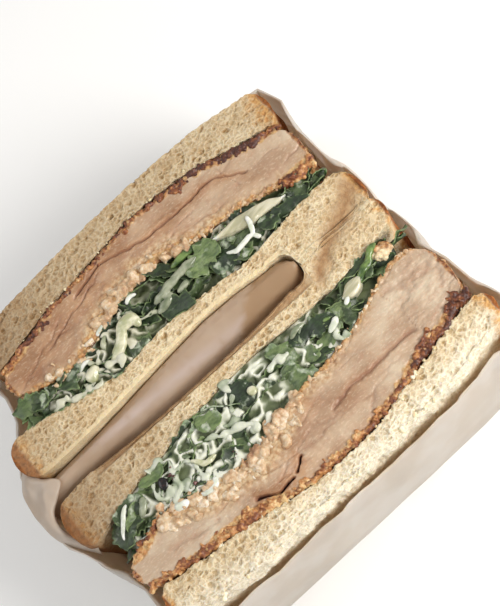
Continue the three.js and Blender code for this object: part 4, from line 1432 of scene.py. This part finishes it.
# The photograph's view: its centre on the cut faces, its scale there, and how it is turned.
AIM = Vector((15.9, 2.3, CUT)) * MM
ELEVATION = math.radians(70)
ROLL = math.radians(42)  # X runs up to the right at this angle in the picture
DISTANCE = 0.46
FRAME_WIDTH = 0.142  # what the picture's width covers at the cut faces


def make_camera():
    """A camera that looks at AIM as the photograph does."""
    camera = bpy.data.cameras.new("camera")
    camera.sensor_fit = "HORIZONTAL"
    camera.sensor_width = 36.0
    camera.lens = camera.sensor_width * DISTANCE / FRAME_WIDTH
    camera.clip_start = 0.01
    lens = bpy.data.objects.new("camera", camera)
    back = Vector((0, -math.cos(ELEVATION), math.sin(ELEVATION)))
    lens.location = AIM + DISTANCE * back
    level = back.to_track_quat("Z", "Y").to_matrix()
    lens.rotation_euler = (level @ Matrix.Rotation(-ROLL, 3, "Z")).to_euler()
    bpy.context.scene.collection.objects.link(lens)
    bpy.context.scene.camera = lens


# ---------- the sandwich ----------

CREASE = [(33, -8.0), (39.4, -4.5), (44, -0.8), (51.4, 2.0), (60, 7.0)]  # knots (x, y from the middle)


def bridge_skin(x, across):
    """The smooth tan skin of the crease where the two cut faces run together; its tan is partly
    painted shade in the crease.
    """
    width = 3.4 + 1.2 * smoothstep(44, 56, x)
    return smoothstep(31, 37, x) * np.exp(-(((across - through(CREASE, x)) / width) ** 2))


def outer_skin(x, out):
    """The tan rim of the slice beside the gap."""
    return 0.85 * smoothstep(7.8, 7.0, out) * smoothstep(36, 30, x) * smoothstep(-52, -44, x)


def make_breads(layers):
    """The four half slices, each with its own crust, toasting, skins and shade."""
    crumb = bread_material()
    both_skins = lambda x, out: np.maximum(bridge_skin(x, -out), outer_skin(x, out))
    looks = {
        # shade: the painted shade of each slice by x
        "slice_outer_a": bread_relief(10, 4, 9, shade=[(-56, 1.4), (-10, 0.8), (60, 0.5)]),
        "slice_outer_b": bread_relief(20, 3, 7, pale=0.85, shade=[(-56, 0.3), (0, 0.1), (60, 0.1)]),
        "slice_inner_a": bread_relief(
            30, 10, 3.5, shade=[(-64, 0.7), (-30, 0.1), (60, 0.15)], tan=bridge_skin, skin=1.3, cap=4.8),
        "slice_inner_b": bread_relief(
            40, 9, 3.5, shade=[(-64, 1.3), (-36, 0.7), (-10, 0.1), (60, 0.1)], tan=both_skins, cap=4.0),
    }
    for name, relief in looks.items():
        loaf(name, layers[name], 0.3, 52, relief, crumb, "bread")


COAT_A_NEAR = [(-54, 1.2), (-34, 1.6), (-22, 2.6), (8, 2.8), (20, 1.4), (40, 1.2), (50, 2.5), (60, 3)]
COAT_A_FAR = [(-54, 2.4), (-44, 1.8), (-20, 0.9), (10, 1.1), (28, 1.8), (42, 2.4), (60, 1.4)]
BATTER_A = [(-54, 0), (-34, 2), (-22, 5.5), (8, 5.5), (20, 3.0), (40, 1.6), (60, 2)]
COAT_B_NEAR = [(-60, 2.0), (-52, 3.0), (-42, 2.0), (-30, 0.8), (-6, 0.8), (8, 1.2), (30, 1.0), (64, 1.2)]
COAT_B_FAR = [(-60, 1.4), (-40, 1.3), (-33, 3.0), (-18, 2.8), (-8, 1.2), (20, 1.5), (38, 2.6), (64, 2.8)]
BATTER_B = [(-60, 0), (-44, 3), (-32, 7), (-4, 7), (8, 3.5), (30, 2.2), (48, 1.2), (64, 1)]
GROOVES_A = [
    ([(-21, 38.5), (-11, 40.8), (9, 37), (31, 37), (41, 32)], 0.35, 1.1),
    ([(-37, 31), (-23, 35.5), (-13, 38.4)], 0.4, 0.6),
    ([(34, 39), (37, 30)], 0.4, 0.4),
    ([(-48, 29), (-36, 33), (-28, 37)], 0.5, 0.35),
    ([(-4, 33), (12, 32.5), (22, 30.5)], 0.5, 0.3),
]
GROOVES_B = [
    ([(-19, 43.0), (-12, 46.2), (-7, 45.6)], 0.42, 2.6),
    ([(-5.6, 44.8), (-1.6, 42.4)], 0.42, 2.4),
    ([(13, 38.8), (21, 37.6), (45, 37.2)], 0.55, 0.9),
    ([(45, 24), (46, 38)], 0.4, 0.5),
    ([(-46, 38), (-30, 41)], 0.45, 0.35),
    ([(0, 36), (16, 33)], 0.6, 0.3),
]


def torn_a(x, out):
    """Where half A's meat is torn into flakes."""
    return smoothstep(-36, -30, x) * smoothstep(12, 2, x) * smoothstep(38, 34, out)


def torn_b(x, _):
    """Where half B's meat is torn into flakes."""
    return smoothstep(40, 46, x) + 0.6 * smoothstep(8, -6, x) * smoothstep(-48, -38, x)


def make_chicken(layers):
    """Both fillets: the points across the cut face, then what chicken_relief takes."""
    material = chicken_material()
    # how warm the meat is by x: half A darkens towards its left end as painted shade
    warm_a = [(-54, 1.0), (-10, 0.85), (30, 0.5), (60, 0.35)]
    warm_b = [(-58, 0.0), (-38, 0.0), (-18, 0.45), (2, 0.6), (22, 0.45), (36, 0.2), (64, 0.05)]
    looks = {
        "fillet_a": (84, 50, COAT_A_NEAR, COAT_A_FAR, BATTER_A, warm_a, GROOVES_A, torn_a),
        "fillet_b": (100, 60, COAT_B_NEAR, COAT_B_FAR, BATTER_B, warm_b, GROOVES_B, torn_b),
    }
    for name, (across, *look) in looks.items():
        loaf(name, layers[name], 0.3, across, chicken_relief(*look), material, "chicken")


LAYERS = {
    "slice_outer_a": Layer("outer_bread_a", 1, 4.5),
    "slice_outer_b": Layer("outer_bread_b", -1, 4.5),
    "slice_inner_a": Slice(1, 5),
    "slice_inner_b": Slice(-1, 5),
    "fillet_a": Layer("chicken_a", 1, 6.5),
    "fillet_b": Layer("chicken_b", -1, 6.5),
}
FILLINGS = {
    half: Filling("greens_" + half, LAYERS["slice_inner_" + half], LAYERS["fillet_" + half], CUT - 1.2)
    for half in ("a", "b")
}
make_breads(LAYERS)
make_chicken(LAYERS)
make_greens(FILLINGS)
make_onions()
make_coating_bit()
make_ribs()
make_crumbs(LAYERS)
make_paper()
make_stage()
make_camera()
make_lights(AIM)
